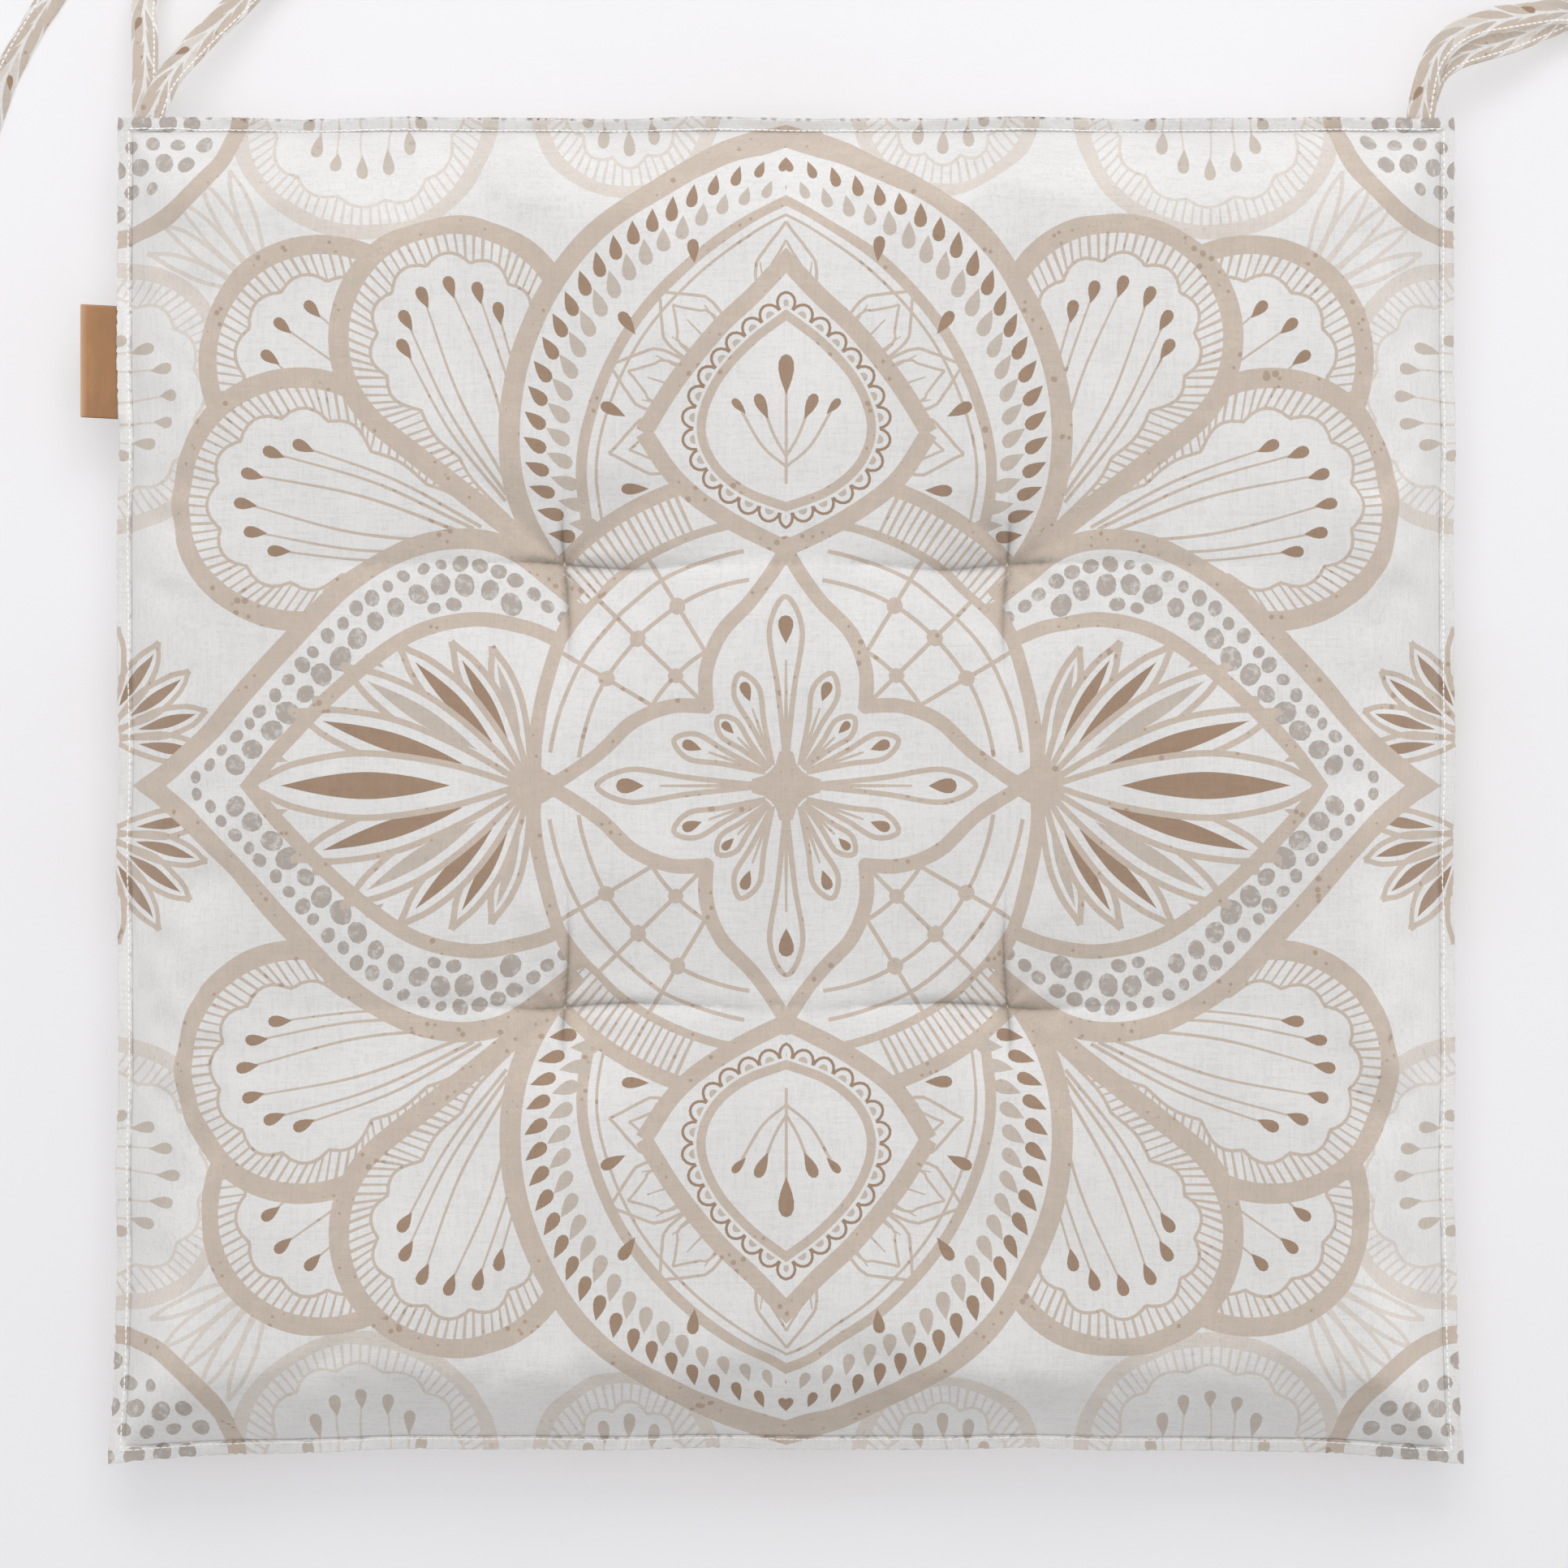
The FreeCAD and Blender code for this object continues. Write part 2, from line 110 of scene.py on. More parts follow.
def spline(points, step=1.9):
    """A smooth curve through a few points, sampled about every step millimetres."""
    control = np.array(points, float)
    ends = [2 * control[0] - control[1], *control, 2 * control[-1] - control[-2]]
    curve = []
    for before, start, end, after in zip(ends, ends[1:], ends[2:], ends[3:]):
        count = max(2, int(np.linalg.norm(end - start) / step))
        for share in np.arange(count) / count:
            curve.append(0.5 * (
                2 * start + (end - before) * share
                + (2 * before - 5 * start + 4 * end - after) * share**2
                + (3 * start - before - 3 * end + after) * share**3
            ))
    return np.array([*curve, control[-1]])


def looked_up(where, known, table):
    """Rows of a table at places between the known ones."""
    return np.stack([np.interp(where, known, column) for column in np.transpose(table)], 1)


def along(curve, count=None, pitch=None, inset=0.0):
    """Evenly spaced places on a curve and the unit direction at each."""
    steps = np.linalg.norm(np.diff(curve, axis=0), axis=1)
    travelled = np.concatenate([[0], np.cumsum(steps)])
    if count is None:
        count = max(2, int(round((travelled[-1] - 2 * inset) / pitch)) + 1)
    wanted = np.linspace(inset, travelled[-1] - inset, count)
    places, ahead, behind = (looked_up(wanted + shift, travelled, curve) for shift in (0, 0.5, -0.5))
    direction = ahead - behind
    return places, direction / np.maximum(np.linalg.norm(direction, axis=1)[:, None], 1e-9)


def offset(curve, distance):
    """A flat curve moved sideways, to its left, by one distance or by one for each point."""
    direction = np.gradient(curve, axis=0)
    direction /= np.maximum(np.linalg.norm(direction, axis=1)[:, None], 1e-9)
    return curve + np.stack([-direction[:, 1], direction[:, 0]], 1) * distance


def spread(base, tip, width):
    """A motif's start, its run to the tip, and half its width as a sideways step."""
    base = np.array(base, float)
    axis = np.array(tip, float) - base
    return base, axis, np.array([-axis[1], axis[0]]) / np.linalg.norm(axis) * width / 2


# ---------------------------------------------------------------- the print

# Inks, by the index of their material on a printed piece.
CLOTH, SAND, PALE, BROWN, GREY, FAINT = range(6)


class Print:
    """Closed shapes painted one over another on a quarter of the panel, its middle at the origin."""

    def __init__(self, seed):
        self.shapes = []
        self.dice = random.Random(seed)

    def area(self, ink, outline):
        self.shapes.append((ink, np.asarray(outline, float)))

    def band(self, ink, curve, width, end_width=None):
        """A line of one width, or one that tapers evenly to its end width."""
        curve = np.asarray(curve, float)
        widths = np.linspace(width, width if end_width is None else end_width, len(curve))[:, None]
        side = (offset(curve, 1.0) - curve) * widths / 2
        self.area(ink, np.concatenate([curve + side, (curve - side)[::-1]]))

    def dot(self, ink, x, y, radius, points=11, rough=0.09):
        """A hand-painted round spot."""
        phase = self.dice.uniform(0, math.tau)
        outline = []
        for turn in math.tau * np.arange(points) / points:
            reach = radius * (1 + rough * math.sin(2 * turn + phase) + self.dice.uniform(-rough, rough) / 2)
            outline.append((x + reach * math.cos(turn), y + reach * math.sin(turn)))
        self.area(ink, outline)

    def spots(self, ink, places, small, large):
        """Round spots of uneven sizes, each a little off its place."""
        for x, y in places:
            self.dot(ink, x + self.dice.uniform(-0.5, 0.5), y + self.dice.uniform(-0.5, 0.5),
                     self.dice.uniform(small, large))

    def drop(self, ink, x, y, angle, length, width, points=14):
        """A teardrop about its middle, its point towards angle."""
        turn = np.linspace(0, math.tau, points, endpoint=False)
        axis = np.cos(turn) * length / 2
        side = np.sin(turn) * np.sin(turn / 2) ** 1.3 * width / 2 * 1.25
        cosine, sine = math.cos(angle), math.sin(angle)
        self.area(ink, np.stack([x + axis * cosine - side * sine, y + axis * sine + side * cosine], 1))

    def petal(self, base, tip, width, line, ink=SAND, core=None, fullness=0.5, fill=None):
        """A pointed petal drawn as an outline, with an optional solid core."""
        base, axis, side = spread(base, tip, width)
        shape = ((0, 0), (0.26, 0.66), (fullness, 1.0), (0.8, 0.7), (0.93, 0.22), (1, 0))
        left, right = (
            spline([base + axis * ahead + side * aside * sign for ahead, aside in shape]) for sign in (1, -1)
        )
        if fill is not None:
            self.area(fill, np.concatenate([left, right[::-1]]))
        self.band(ink, left, line)
        self.band(ink, right, line)
        if core is not None:
            self.petal_core(core, base + axis * 0.55, axis * 0.26, side * 0.42)

    def petal_core(self, ink, middle, half_axis, half_side):
        """A solid pointed petal about its middle."""
        shape = ((-1.15, 0), (-0.62, 0.66), (0, 1.0), (0.6, 0.7), (1.2, 0))
        left, right = (
            spline([middle + half_axis * ahead + half_side * aside * sign for ahead, aside in shape], 1.2)
            for sign in (1, -1)
        )
        self.area(ink, np.concatenate([left, right[::-1]]))

    def loop(self, base, tip, width, line, seed_size):
        """A slim closed loop with a brown seed in its round end."""
        base, axis, side = spread(base, tip, width)
        shape = ((0, 0), (0.45, 0.5), (0.8, 1), (1, 0), (0.8, -1), (0.45, -0.5), (0, 0))
        self.band(SAND, spline([base + axis * ahead + side * aside for ahead, aside in shape], 1.2), line)
        self.drop(BROWN, *(base + axis * 0.8), math.atan2(-axis[1], -axis[0]), seed_size * 1.7, seed_size)
        self.band(SAND, [base, base + axis * 0.62], line * 0.9, line * 0.4)

    def ticks(self, first, second, pitch, width, ink=SAND):
        """Short cross lines between two curves that run side by side."""
        length = np.linalg.norm(np.diff(first, axis=0), axis=1).sum()
        count = max(3, int(length / pitch))
        for ends in zip(*(along(curve, count, inset=pitch / 2)[0] for curve in (first, second))):
            thick = width * self.dice.uniform(0.75, 1.2)
            self.band(ink, ends, thick, thick * 0.7)

    def shell(self, base, heading_deg, length, half_deg, inks, band=6.0, lobes=8, size=1.0):
        """A scallop shell on a point: a thick rim, a ring of ticks, a lobed edge and stamens that end in drops."""
        main, stamen, seed = inks
        base = np.array(base, float)
        half = math.radians(half_deg)
        cap = length * math.sin(half) / (1 + math.sin(half))
        towards = math.radians(heading_deg)
        centre = base + heading(heading_deg) * (length - cap)

        def arc(reach, turns):
            return centre + reach * np.stack([np.cos(towards + turns), np.sin(towards + turns)], 1)

        widest = math.pi / 2 + half
        outline = np.array([base, *arc(cap, np.linspace(-widest, widest, 44)), base])
        self.area(CLOTH, outline)
        # The ring of ticks runs round the rim and thins out down both sides.
        pitch = 0.9
        rim = along(offset(outline, band / 2 - 0.3), pitch=pitch)[0]
        travelled = np.arange(len(rim)) * pitch
        side = travelled[-1] / 2 - cap * widest
        closing = smooth((np.minimum(travelled, travelled[-1] - travelled) / side - 0.25) / 0.8)
        rim, travelled, closing = rim[closing > 0], travelled[closing > 0], closing[closing > 0]
        wave = np.abs(np.sin((travelled - travelled.mean()) / (2 * cap * widest) * math.pi * lobes + lobes * 1.571))
        ring_in = offset(rim, ((8.8 - 2.6 * wave) * size * closing)[:, None])
        self.ticks(rim, ring_in, 2.9, 0.95, stamen)
        self.band(stamen, ring_in, 1.0)
        for number in range(lobes - 2):
            turn = (number - (lobes - 3) / 2) * 3.4 / (lobes - 2)
            end = arc(cap * 0.44, np.array([turn]))[0]
            start = base + (end - base) * 0.26
            lean = np.array([-(end - start)[1], (end - start)[0]]) * 0.04 * math.copysign(1, turn)
            self.band(stamen, spline([start, (start + end) / 2 + lean, end]), 1.15, 0.6)
            self.drop(seed, *end, math.atan2(*(start - end)[::-1]), 7.0 * size, 3.9 * size)
        self.band(main, outline, band)


def inside(outline, points):
    """Which points a closed outline winds round."""
    winding = np.zeros(len(points), int)
    for (x0, y0), (x1, y1) in zip(outline, np.roll(outline, -1, axis=0)):
        side = (x1 - x0) * (points[:, 1] - y0) - (points[:, 0] - x0) * (y1 - y0)
        winding += (y0 <= points[:, 1]) & (points[:, 1] < y1) & (side > 0)
        winding -= (y1 <= points[:, 1]) & (points[:, 1] < y0) & (side < 0)
    return winding != 0


def divided(outline, closed, longest=3.4):
    """An outline with its long edges cut into shorter ones, so that it can follow a curved surface."""
    pairs = list(zip(outline, np.roll(outline, -1, axis=0)))
    points = []
    for start, end in pairs if closed else pairs[:-1]:
        count = max(1, math.ceil(np.linalg.norm(end - start) / longest))
        points.extend(start + (end - start) * share for share in np.arange(count) / count)
    return np.array(points if closed else [*points, outline[-1]])


def tessellated(art, low, high, loose, lines):
    """The print inside a rectangle as triangles: flat corners, triangles and the ink of each.

    loose are extra points that the surface's shape needs, lines extra edges, both in the print's plane."""
    low, high = np.array(low, float), np.array(high, float)
    shapes = [(ink, shape) for ink, shape in art.shapes
              if (shape.max(0) >= low).all() and (shape.min(0) <= high).all()]
    loops = [(np.array([low, (high[0], low[1]), high, (low[0], high[1])]), True)]
    loops += [(np.array(line, float), False) for line in lines] + [(shape, True) for _, shape in shapes]
    points, edges = [], []
    for outline, closed in loops:
        first = len(points)
        points.extend(divided(outline, closed).tolist())
        edges.extend((place, place + 1) for place in range(first, len(points) - 1))
        if closed:
            edges.append((len(points) - 1, first))

    def cell(spot, size=1.1):
        return round(spot[0] / size), round(spot[1] / size)

    taken = {cell(point) for point in points}
    points.extend(spot for spot in np.asarray(loose).tolist() if cell(spot) not in taken)
    found = delaunay_2d_cdt([Vector(point) for point in points], edges, [], 0, 1e-4, False)
    flat = np.array([tuple(point) for point in found[0]])
    triangles = np.array([face for face in found[2] if len(face) == 3])
    one, two, three = (flat[triangles[:, corner]] for corner in range(3))
    doubled = np.abs((two[:, 0] - one[:, 0]) * (three[:, 1] - one[:, 1])
                     - (two[:, 1] - one[:, 1]) * (three[:, 0] - one[:, 0]))
    middles = flat[triangles].mean(axis=1)
    kept = ((middles > low) & (middles < high)).all(axis=1) & (doubled > 1e-6)
    triangles, middles = triangles[kept], middles[kept]
    inks = np.zeros(len(triangles), int)
    for ink, outline in shapes:
        near = np.flatnonzero(((middles >= outline.min(0)) & (middles <= outline.max(0))).all(axis=1))
        if len(near):
            inks[near[inside(outline, middles[near])]] = ink
    used, packed = np.unique(triangles, return_inverse=True)
    return flat[used], packed.reshape(-1, 3), inks


def arc(x, y, reach, low_deg, high_deg, count=26):
    """Points on a part of a circle."""
    turns = np.radians(np.linspace(low_deg, high_deg, count))
    return np.stack([x + reach * np.cos(turns), y + reach * np.sin(turns)], 1)


def mandala():
    """The print's top right quarter, its middle at the origin: a mandala of stock ornament."""
    art = Print(7)
    strong, weak = (SAND, SAND, BROWN), (FAINT, FAINT, PALE)

    # Faded motifs along the borders, under everything else.
    art.shell((126, 266), -90, 102, 36, weak, 4.6, 9)
    art.shell((268, 116), 180, 104, 36, weak, 4.6, 9)
    art.shell((52, 252), -95, 74, 34, weak, 4.2, 7)
    for middle, low_deg, step_deg, near, far, *drawing in (
        ((206, 14), 100, 22, 4, 34, 8, 1.6, SAND, BROWN), ((150, 142), 22, 12, 10, 44, 5, 1.3, FAINT),
    ):
        for turn in range(5):
            ahead = heading(low_deg + turn * step_deg)
            art.petal(middle + near * ahead, middle + far * ahead, *drawing)

    # Corner: rows of dots inside a round band.
    corner = arc(206, 206, 43, 168, 282)
    art.area(CLOTH, [*corner, (212, 212)])
    rows = [(170 + 7.6 * column + 3.4 * (row % 2), 170.5 + 7.0 * row) for row in range(6) for column in range(6)]
    art.spots(GREY, [(x, y) for x, y in rows if math.hypot(206 - x, 206 - y) < 36.5], 2.0, 3.3)
    art.band(SAND, corner, 5.2)

    # Three shells on one point, the middle one behind.
    art.shell((74, 71), 41, 118, 24, strong, 5.8, 7, 0.95)
    art.shell((72, 68), 13, 110, 29.5, strong)
    art.shell((72, 68), 68, 104, 29.5, strong)

    # Arch over the top medallion: two bands with two rows of drops between them.
    arch = spline([(-3, 196.5), (22, 188.5), (46, 174), (66, 153), (78.5, 128), (82, 103), (77, 79), (62, 53)])
    inner_arch = spline([(-2, 176.5), (12, 168), (31, 153), (47, 134), (57, 112), (60.5, 91), (57, 66)])
    art.area(CLOTH, [*arch, (0, 40), (-3, 66)])
    art.band(SAND, inner_arch, 3.3)
    art.band(SAND, offset(inner_arch, -4.4), 0.9)
    for ink, depth, size in ((BROWN, 7.4, 4.3), (PALE, 14.4, 4.7)):
        for (x, y), (ahead_x, ahead_y) in zip(*along(offset(arch, -depth), pitch=7.1, inset=6)):
            grown = size * (0.66 + 0.34 * min(1.0, x / 34))
            art.drop(ink, x, y, math.atan2(-ahead_x, ahead_y) + math.pi / 2 + 2.2, grown * 1.85, grown)
    art.band(SAND, arch, 6.2)

    # Fine-line petals behind the medallion.
    middle = np.array((0.0, 108.0))
    for turn_deg, reach, width in ((-38, 46, 15), (-10, 53, 17), (18, 55, 18), (46, 54, 18), (90, 60, 18)):
        ahead = heading(turn_deg)
        art.petal(middle + ahead * 14, middle + ahead * reach, width, 0.95, fullness=0.66)
        art.petal(middle + ahead * 14, middle + ahead * (reach - 6), width - 5, 0.8, fullness=0.7)
        for lean in (-0.16, 0, 0.16):
            vein = heading(turn_deg + math.degrees(lean))
            art.band(SAND, [middle + vein * (reach - 22), middle + vein * (reach - 12)], 0.9, 0.4)
    for turn_deg, reach in ((4, 51), (32, 55), (62, 58), (-24, 49)):
        art.drop(BROWN, *(middle + reach * heading(turn_deg)), math.radians(turn_deg) + math.pi + 0.4, 8.2, 3.9)

    # Ladder round the middle with a net inside it.
    rib = arc(0, 0, 94, 30, 77)
    art.area(CLOTH, [*rib, (0, 66), (0, 0), (66, 0)])
    art.ticks(arc(0, 0, 92, 30, 70), arc(0, 0, 80, 29, 71), 2.6, 1.05)
    for line in (arc(0, 0, 46, 30, 60), arc(0, 0, 62, 8, 80), arc(0, 0, 71, 8, 80)):
        art.band(SAND, line, 1.3)
    for turn_deg in (31, 45, 59):
        ahead = heading(turn_deg)
        art.band(SAND, [ahead * 30, ahead * 79], 1.3)
        art.dot(SAND, *(ahead * 62), 2.5, 12, 0.03)
    art.dot(SAND, 32.5, 32.5, 2.3, 12, 0.03)
    art.band(SAND, arc(0, 0, 79.5, 15, 84), 2.6)
    art.band(SAND, rib, 4.4)

    # Leaf on the cross axis, with rows of dots along its edge and a spray of petals in it.
    leaf = spline([(62, 56), (84, 71), (107, 72), (129, 60), (149, 40), (169, 19), (195, -3)])
    inner_leaf = spline([(66.5, 43), (78, 47.2), (94, 49), (112, 44), (131, 30), (149, 12), (161, -2)])
    base_curve = spline([(61.5, 55), (68, 42), (73, 24), (75, 8), (73, -3)])
    art.area(CLOTH, [*leaf, *base_curve[::-1]])
    zone = np.array([*leaf, *inner_leaf[::-1]])
    for depth, pitch, small, large in ((7.2, 5.9, 1.7, 2.5), (13.6, 7.4, 2.6, 3.6), (19.8, 5.9, 1.7, 2.5)):
        row = along(offset(leaf, -depth), pitch=pitch)[0]
        clear = [(x, y) for x, y in row[inside(zone, row)]
                 if np.hypot(*(inner_leaf - (x, y)).T).min() > 4.4 and y > 1.5]
        art.spots(GREY, clear, small, large)
    base = np.array((75.0, 0.0))
    for turn_deg, reach, width, core in (
        (73, 43, 7.5, PALE), (60, 49, 9, BROWN), (46, 58, 10.5, BROWN), (32, 67, 11.5, PALE), (17, 75, 13, BROWN),
        (0, 86, 19, BROWN),
    ):
        ahead = heading(turn_deg)
        art.petal(base + ahead * 4, base + ahead * reach, width, 1.9, SAND, core, 0.56, CLOTH)
    for x, y, angle, size in ((122, 36.5, 0.6, 4.0), (137, 24, 0.5, 4.4), (150.5, 8, 0.3, 3.8)):
        art.drop(PALE, x, y, angle + math.pi, size * 1.7, size * 0.75)
    art.band(SAND, base_curve, 4.2)
    art.band(SAND, inner_leaf, 4.4)
    art.band(SAND, leaf, 6.0)

    # Medallion: a spade outline, a ring of small brown scallops and a sprig.
    spade_low = spline([(-2, 69.5), (17, 79.5), (32, 90.5), (42, 105)])
    spade_high = spline([(42, 105), (32.5, 120), (20, 135.5), (9, 146), (-2, 158)])
    art.area(CLOTH, [*spade_low, *spade_high])
    inner = spline([(-2, 82.5), (12.5, 88), (22, 96.5), (25, 107.5), (20.5, 120), (10.5, 131.5), (-2, 141)])
    for spot, forward in zip(*along(offset(inner, -2.2), pitch=6.2)):
        outward = np.array((forward[1], -forward[0]))
        scallop = [spot + forward * 3.1 * math.cos(turn) + outward * 3.6 * math.sin(turn)
                   for turn in np.linspace(0, math.pi, 9)]
        art.area(PALE, [spot + (point - spot) * 0.45 for point in scallop])
        art.band(BROWN, scallop, 0.85)
    art.band(SAND, inner, 2.7)
    art.band(SAND, spade_low, 5.2)
    art.band(SAND, spade_high, 5.2)
    art.band(SAND, [(0, 90), (0, 118)], 0.9)
    art.drop(BROWN, 0, 122, -math.pi / 2, 12, 5.2)
    for start, bend, end, angle, size in (
        ((0, 98), (3.5, 104), (6.2, 111), -2.0, 8.2), ((0, 95), (7, 101), (13, 111), -2.3, 6.0),
    ):
        art.band(SAND, spline([start, bend, end]), 0.9)
        art.drop(BROWN, end[0] + 0.8, end[1] + 1.6, angle, size, size * 0.46)

    # Four-petalled flower in the middle.
    petal_up = spline([(-2, 73), (9.5, 55.5), (19, 45), (23.4, 34), (23.4, 23.4)])
    petal_out = petal_up[::-1, ::-1]
    art.area(CLOTH, [*petal_up, *petal_out, (-2, -2)])
    for base, tip, width, size in (
        ((4, 6), (13.5, 33), 7.6, 3.6), ((0, 6), (0, 56), 9.6, 5.0), ((6, 4), (33, 13.5), 7.6, 3.6),
        ((5, 5), (20, 20), 6.4, 2.8), ((6, 0), (56, 0), 9.6, 5.0),
    ):
        art.loop(base, tip, width, 1.6, size)
    art.area(SAND, [(-2, -2), (11, -2), (10, 2), (6.5, 3), (4.5, 4.5), (3, 6.5), (2, 10), (-2, 11)])
    art.band(SAND, petal_up, 4.3)
    art.band(SAND, petal_out, 4.3)
    art.dot(SAND, 23.4, 23.4, 2.3, 16, 0.0)
    art.dot(SAND, 0, 71, 3.6, 12, 0.0)
    art.area(SAND, [(66, -3), (80, -3), (80, 0), (79, 3), (74, 6), (69, 3.2), (66, 1.6)])
    return art


# ---------------------------------------------------------------- the pad's surfaces

FOLD_RADIUS = 0.4
ROUND_ABOVE, ROUND_BELOW = 23.0, 19.0
TOP_RISE = COVER_HIGH.z - SEAM_Z - ROOT_PLY - 0.8
BOTTOM_FALL = SEAM_Z - ROOT_PLY - 0.25
DENT_TOP = COVER_HIGH.z - TUFT_HIGH.z + 0.9    # deep enough to sink the tuft's thread
DENT_BOTTOM = TUFT_LOW.z + 1.0
LABEL_MIDDLE = (LABEL_LOW.y + LABEL_HIGH.y) / 2
LABEL_HALF = (LABEL_HIGH.y - LABEL_LOW.y) / 2
TIE_ROOT = 190.6                               # the tie roots' middle, from the pad's middle line
MOST_MOVED = {"top": 4.0, "bottom": 2.0}       # how far the simulation may move the cloth
FLOOR_GAP = 0.3                                # and how near the floor it may go
GRID = np.linspace(-ROOT, ROOT, 103)
SHIFT = {side: np.zeros((len(GRID), len(GRID), 3)) for side in MOST_MOVED}


def ripple(phase, *values):
    """A gentle irregular wave between about -1 and 1."""
    total = 0
    for order, value in enumerate(values):
        total = total + np.sin(value / (9.7 + 4.1 * order) + phase * (order + 1.3))
        total = total + 0.6 * np.sin(value / (5.3 + 2.3 * order) + phase * (2.1 + order))
    return total / (1.6 * len(values))


def wander(run):
    """How far a tuft's crease strays sideways along its run outwards (inwards where run is negative)."""
    return np.sin(run / 10 + 0.6) - math.sin(0.6)


def tuft_runs(u, v, x, y):
    """For a tuft's flat crease and then its upright one: the run outwards and the distance aside of it."""
    out_x, out_y = math.copysign(1, x) * (u - x), math.copysign(1, y) * (v - y)
    return (out_x, np.abs(out_y - wander(out_x))), (out_y, np.abs(out_x - wander(out_y)))


def tuft_dent(u, v, depth, pull):
    """What the tufts take off the pad's fullness: cusps with four creases each, and valleys between them."""
    taken = np.zeros_like(u)
    for number, (x, y) in enumerate(TUFTS):
        across, up = u - x, v - y
        reach = np.sqrt(across**2 + up**2 + 0.5)
        taken = taken + 0.30 * np.exp(-reach / 4.5) + 0.26 * np.exp(-((reach / 15) ** 2))
        sizes = ((31, 16, 0.27, 0.22), (26, 13, 0.30, 0.20))
        for (run, aside), (inward, outward, sharp, soft) in zip(tuft_runs(u, v, x, y), sizes):
            faded = np.exp(-((np.abs(run) / np.where(run < 0, inward, outward) / pull) ** 1.6))
            taken = taken + faded * (sharp * np.exp(-aside / 0.9) + soft * np.exp(-aside / 5))
        angle = np.arctan2(up, across)
        taken = taken + 0.04 * np.sin(7 * angle + 1.7 * number) * np.exp(-((reach - 8) / 8) ** 2)
    for level in (-TUFT, TUFT):
        for run, aside, sharp, soft in ((u, v - level, 0.07, 0.17), (v, u - level, 0.04, 0.10)):
            valley = sharp * np.exp(-np.abs(aside / 4) ** 1.2) + soft * np.exp(-(aside / 24) ** 2)
            taken = taken + valley * smooth((185 - np.abs(run)) / 90)
    return depth * 1.3 * np.tanh(taken / 1.3)


def crease_shade(u, v):
    """How deep in a tuft's crease the cloth lies, from 0 to 1: painted shade darkens the cloth's colour there."""
    shade = np.zeros_like(u)
    for x, y in TUFTS:
        for (run, aside), inward, outward in zip(tuft_runs(u, v, x, y), (33, 28), (17, 14)):
            fade = smooth(1.25 - np.abs(run) / np.where(run < 0, inward, outward))
            shade = np.maximum(shade, fade * np.exp(-aside / 0.7))
    return shade


def gathers(u, v, phase):
    """Small folds that run in from the stitching."""
    folds = np.zeros_like(u)
    for inset, run, turn in ((ROOT - np.abs(u), v, 0.0), (ROOT - np.abs(v), u, 2.4)):
        inset = np.maximum(inset, 0)
        folds = folds + np.exp(-inset / 9) * smooth(inset / 2.5) * ripple(phase + turn, run, run * 1.9 + inset)
    return folds


def outline(u, v):
    """Where the flat cloth's points lie in plan: the front corners flare and the edge wanders a little."""
    flare = CORNER_FLARE * (np.abs(u) / HALF) ** 6 * (np.abs(v) / HALF) ** 6 * (v < 0)
    near_side, near_end = (np.abs(u) / HALF) ** 10, (np.abs(v) / HALF) ** 10
    x = u + np.sign(u) * flare + 0.45 * near_side * ripple(0.4, v * 0.7) * (1 - near_end)
    drawn_in = 1.5 * (1 - (np.abs(u) / HALF) ** 4) * near_end * (v < 0)
    y = v - flare + drawn_in + 0.45 * near_end * ripple(2.2, u * 0.7) * (1 - near_side)
    return x, y


def sampled(field, u, v):
    """Smooth lookup of a grid of vectors at points of the panel."""
    last = len(GRID) - 1
    column, row = (np.clip((place - GRID[0]) / (GRID[1] - GRID[0]), 0, last - 0.001) for place in (u, v))
    left, below = column.astype(int), row.astype(int)

    def weights(share):
        square, cube = share**2, share**3
        return ((1 - 3 * share + 3 * square - cube) / 6, (4 - 6 * square + 3 * cube) / 6,
                (1 + 3 * share + 3 * square - 3 * cube) / 6, cube / 6)

    total = np.zeros((len(u), field.shape[2]))
    for x_offset, x_weight in enumerate(weights(column - left)):
        for y_offset, y_weight in enumerate(weights(row - below)):
            i, j = np.clip(left + x_offset - 1, 0, last), np.clip(below + y_offset - 1, 0, last)
            total += field[i, j] * (x_weight * y_weight)[:, None]
    return total


def pillow(side, u, v):
    """A panel's height from the border's middle plane, before the simulation moves it."""
    reach = ROUND_ABOVE if side == "top" else ROUND_BELOW
    full = 1
    for place in (u, v):
        full = full * (1 - (1 - np.clip((ROOT - np.abs(place)) / reach, 0, 1)) ** 2) ** 0.62
    if side == "top":
        swell = 0.5 * np.cos(u / 66 * math.pi) * np.cos(v / 66 * math.pi) + 0.5 * ripple(1.1, u / 3.1, v / 2.7)
        height = full * (TOP_RISE + swell) - tuft_dent(u, v, DENT_TOP, 1.0) + 0.85 * gathers(u, v, 0.7)
    else:
        height = full * BOTTOM_FALL - tuft_dent(u, v, DENT_BOTTOM, 0.5) + 0.5 * gathers(u, v, 3.9) * (1 - full)
    return ROOT_PLY + np.maximum(height, 0)


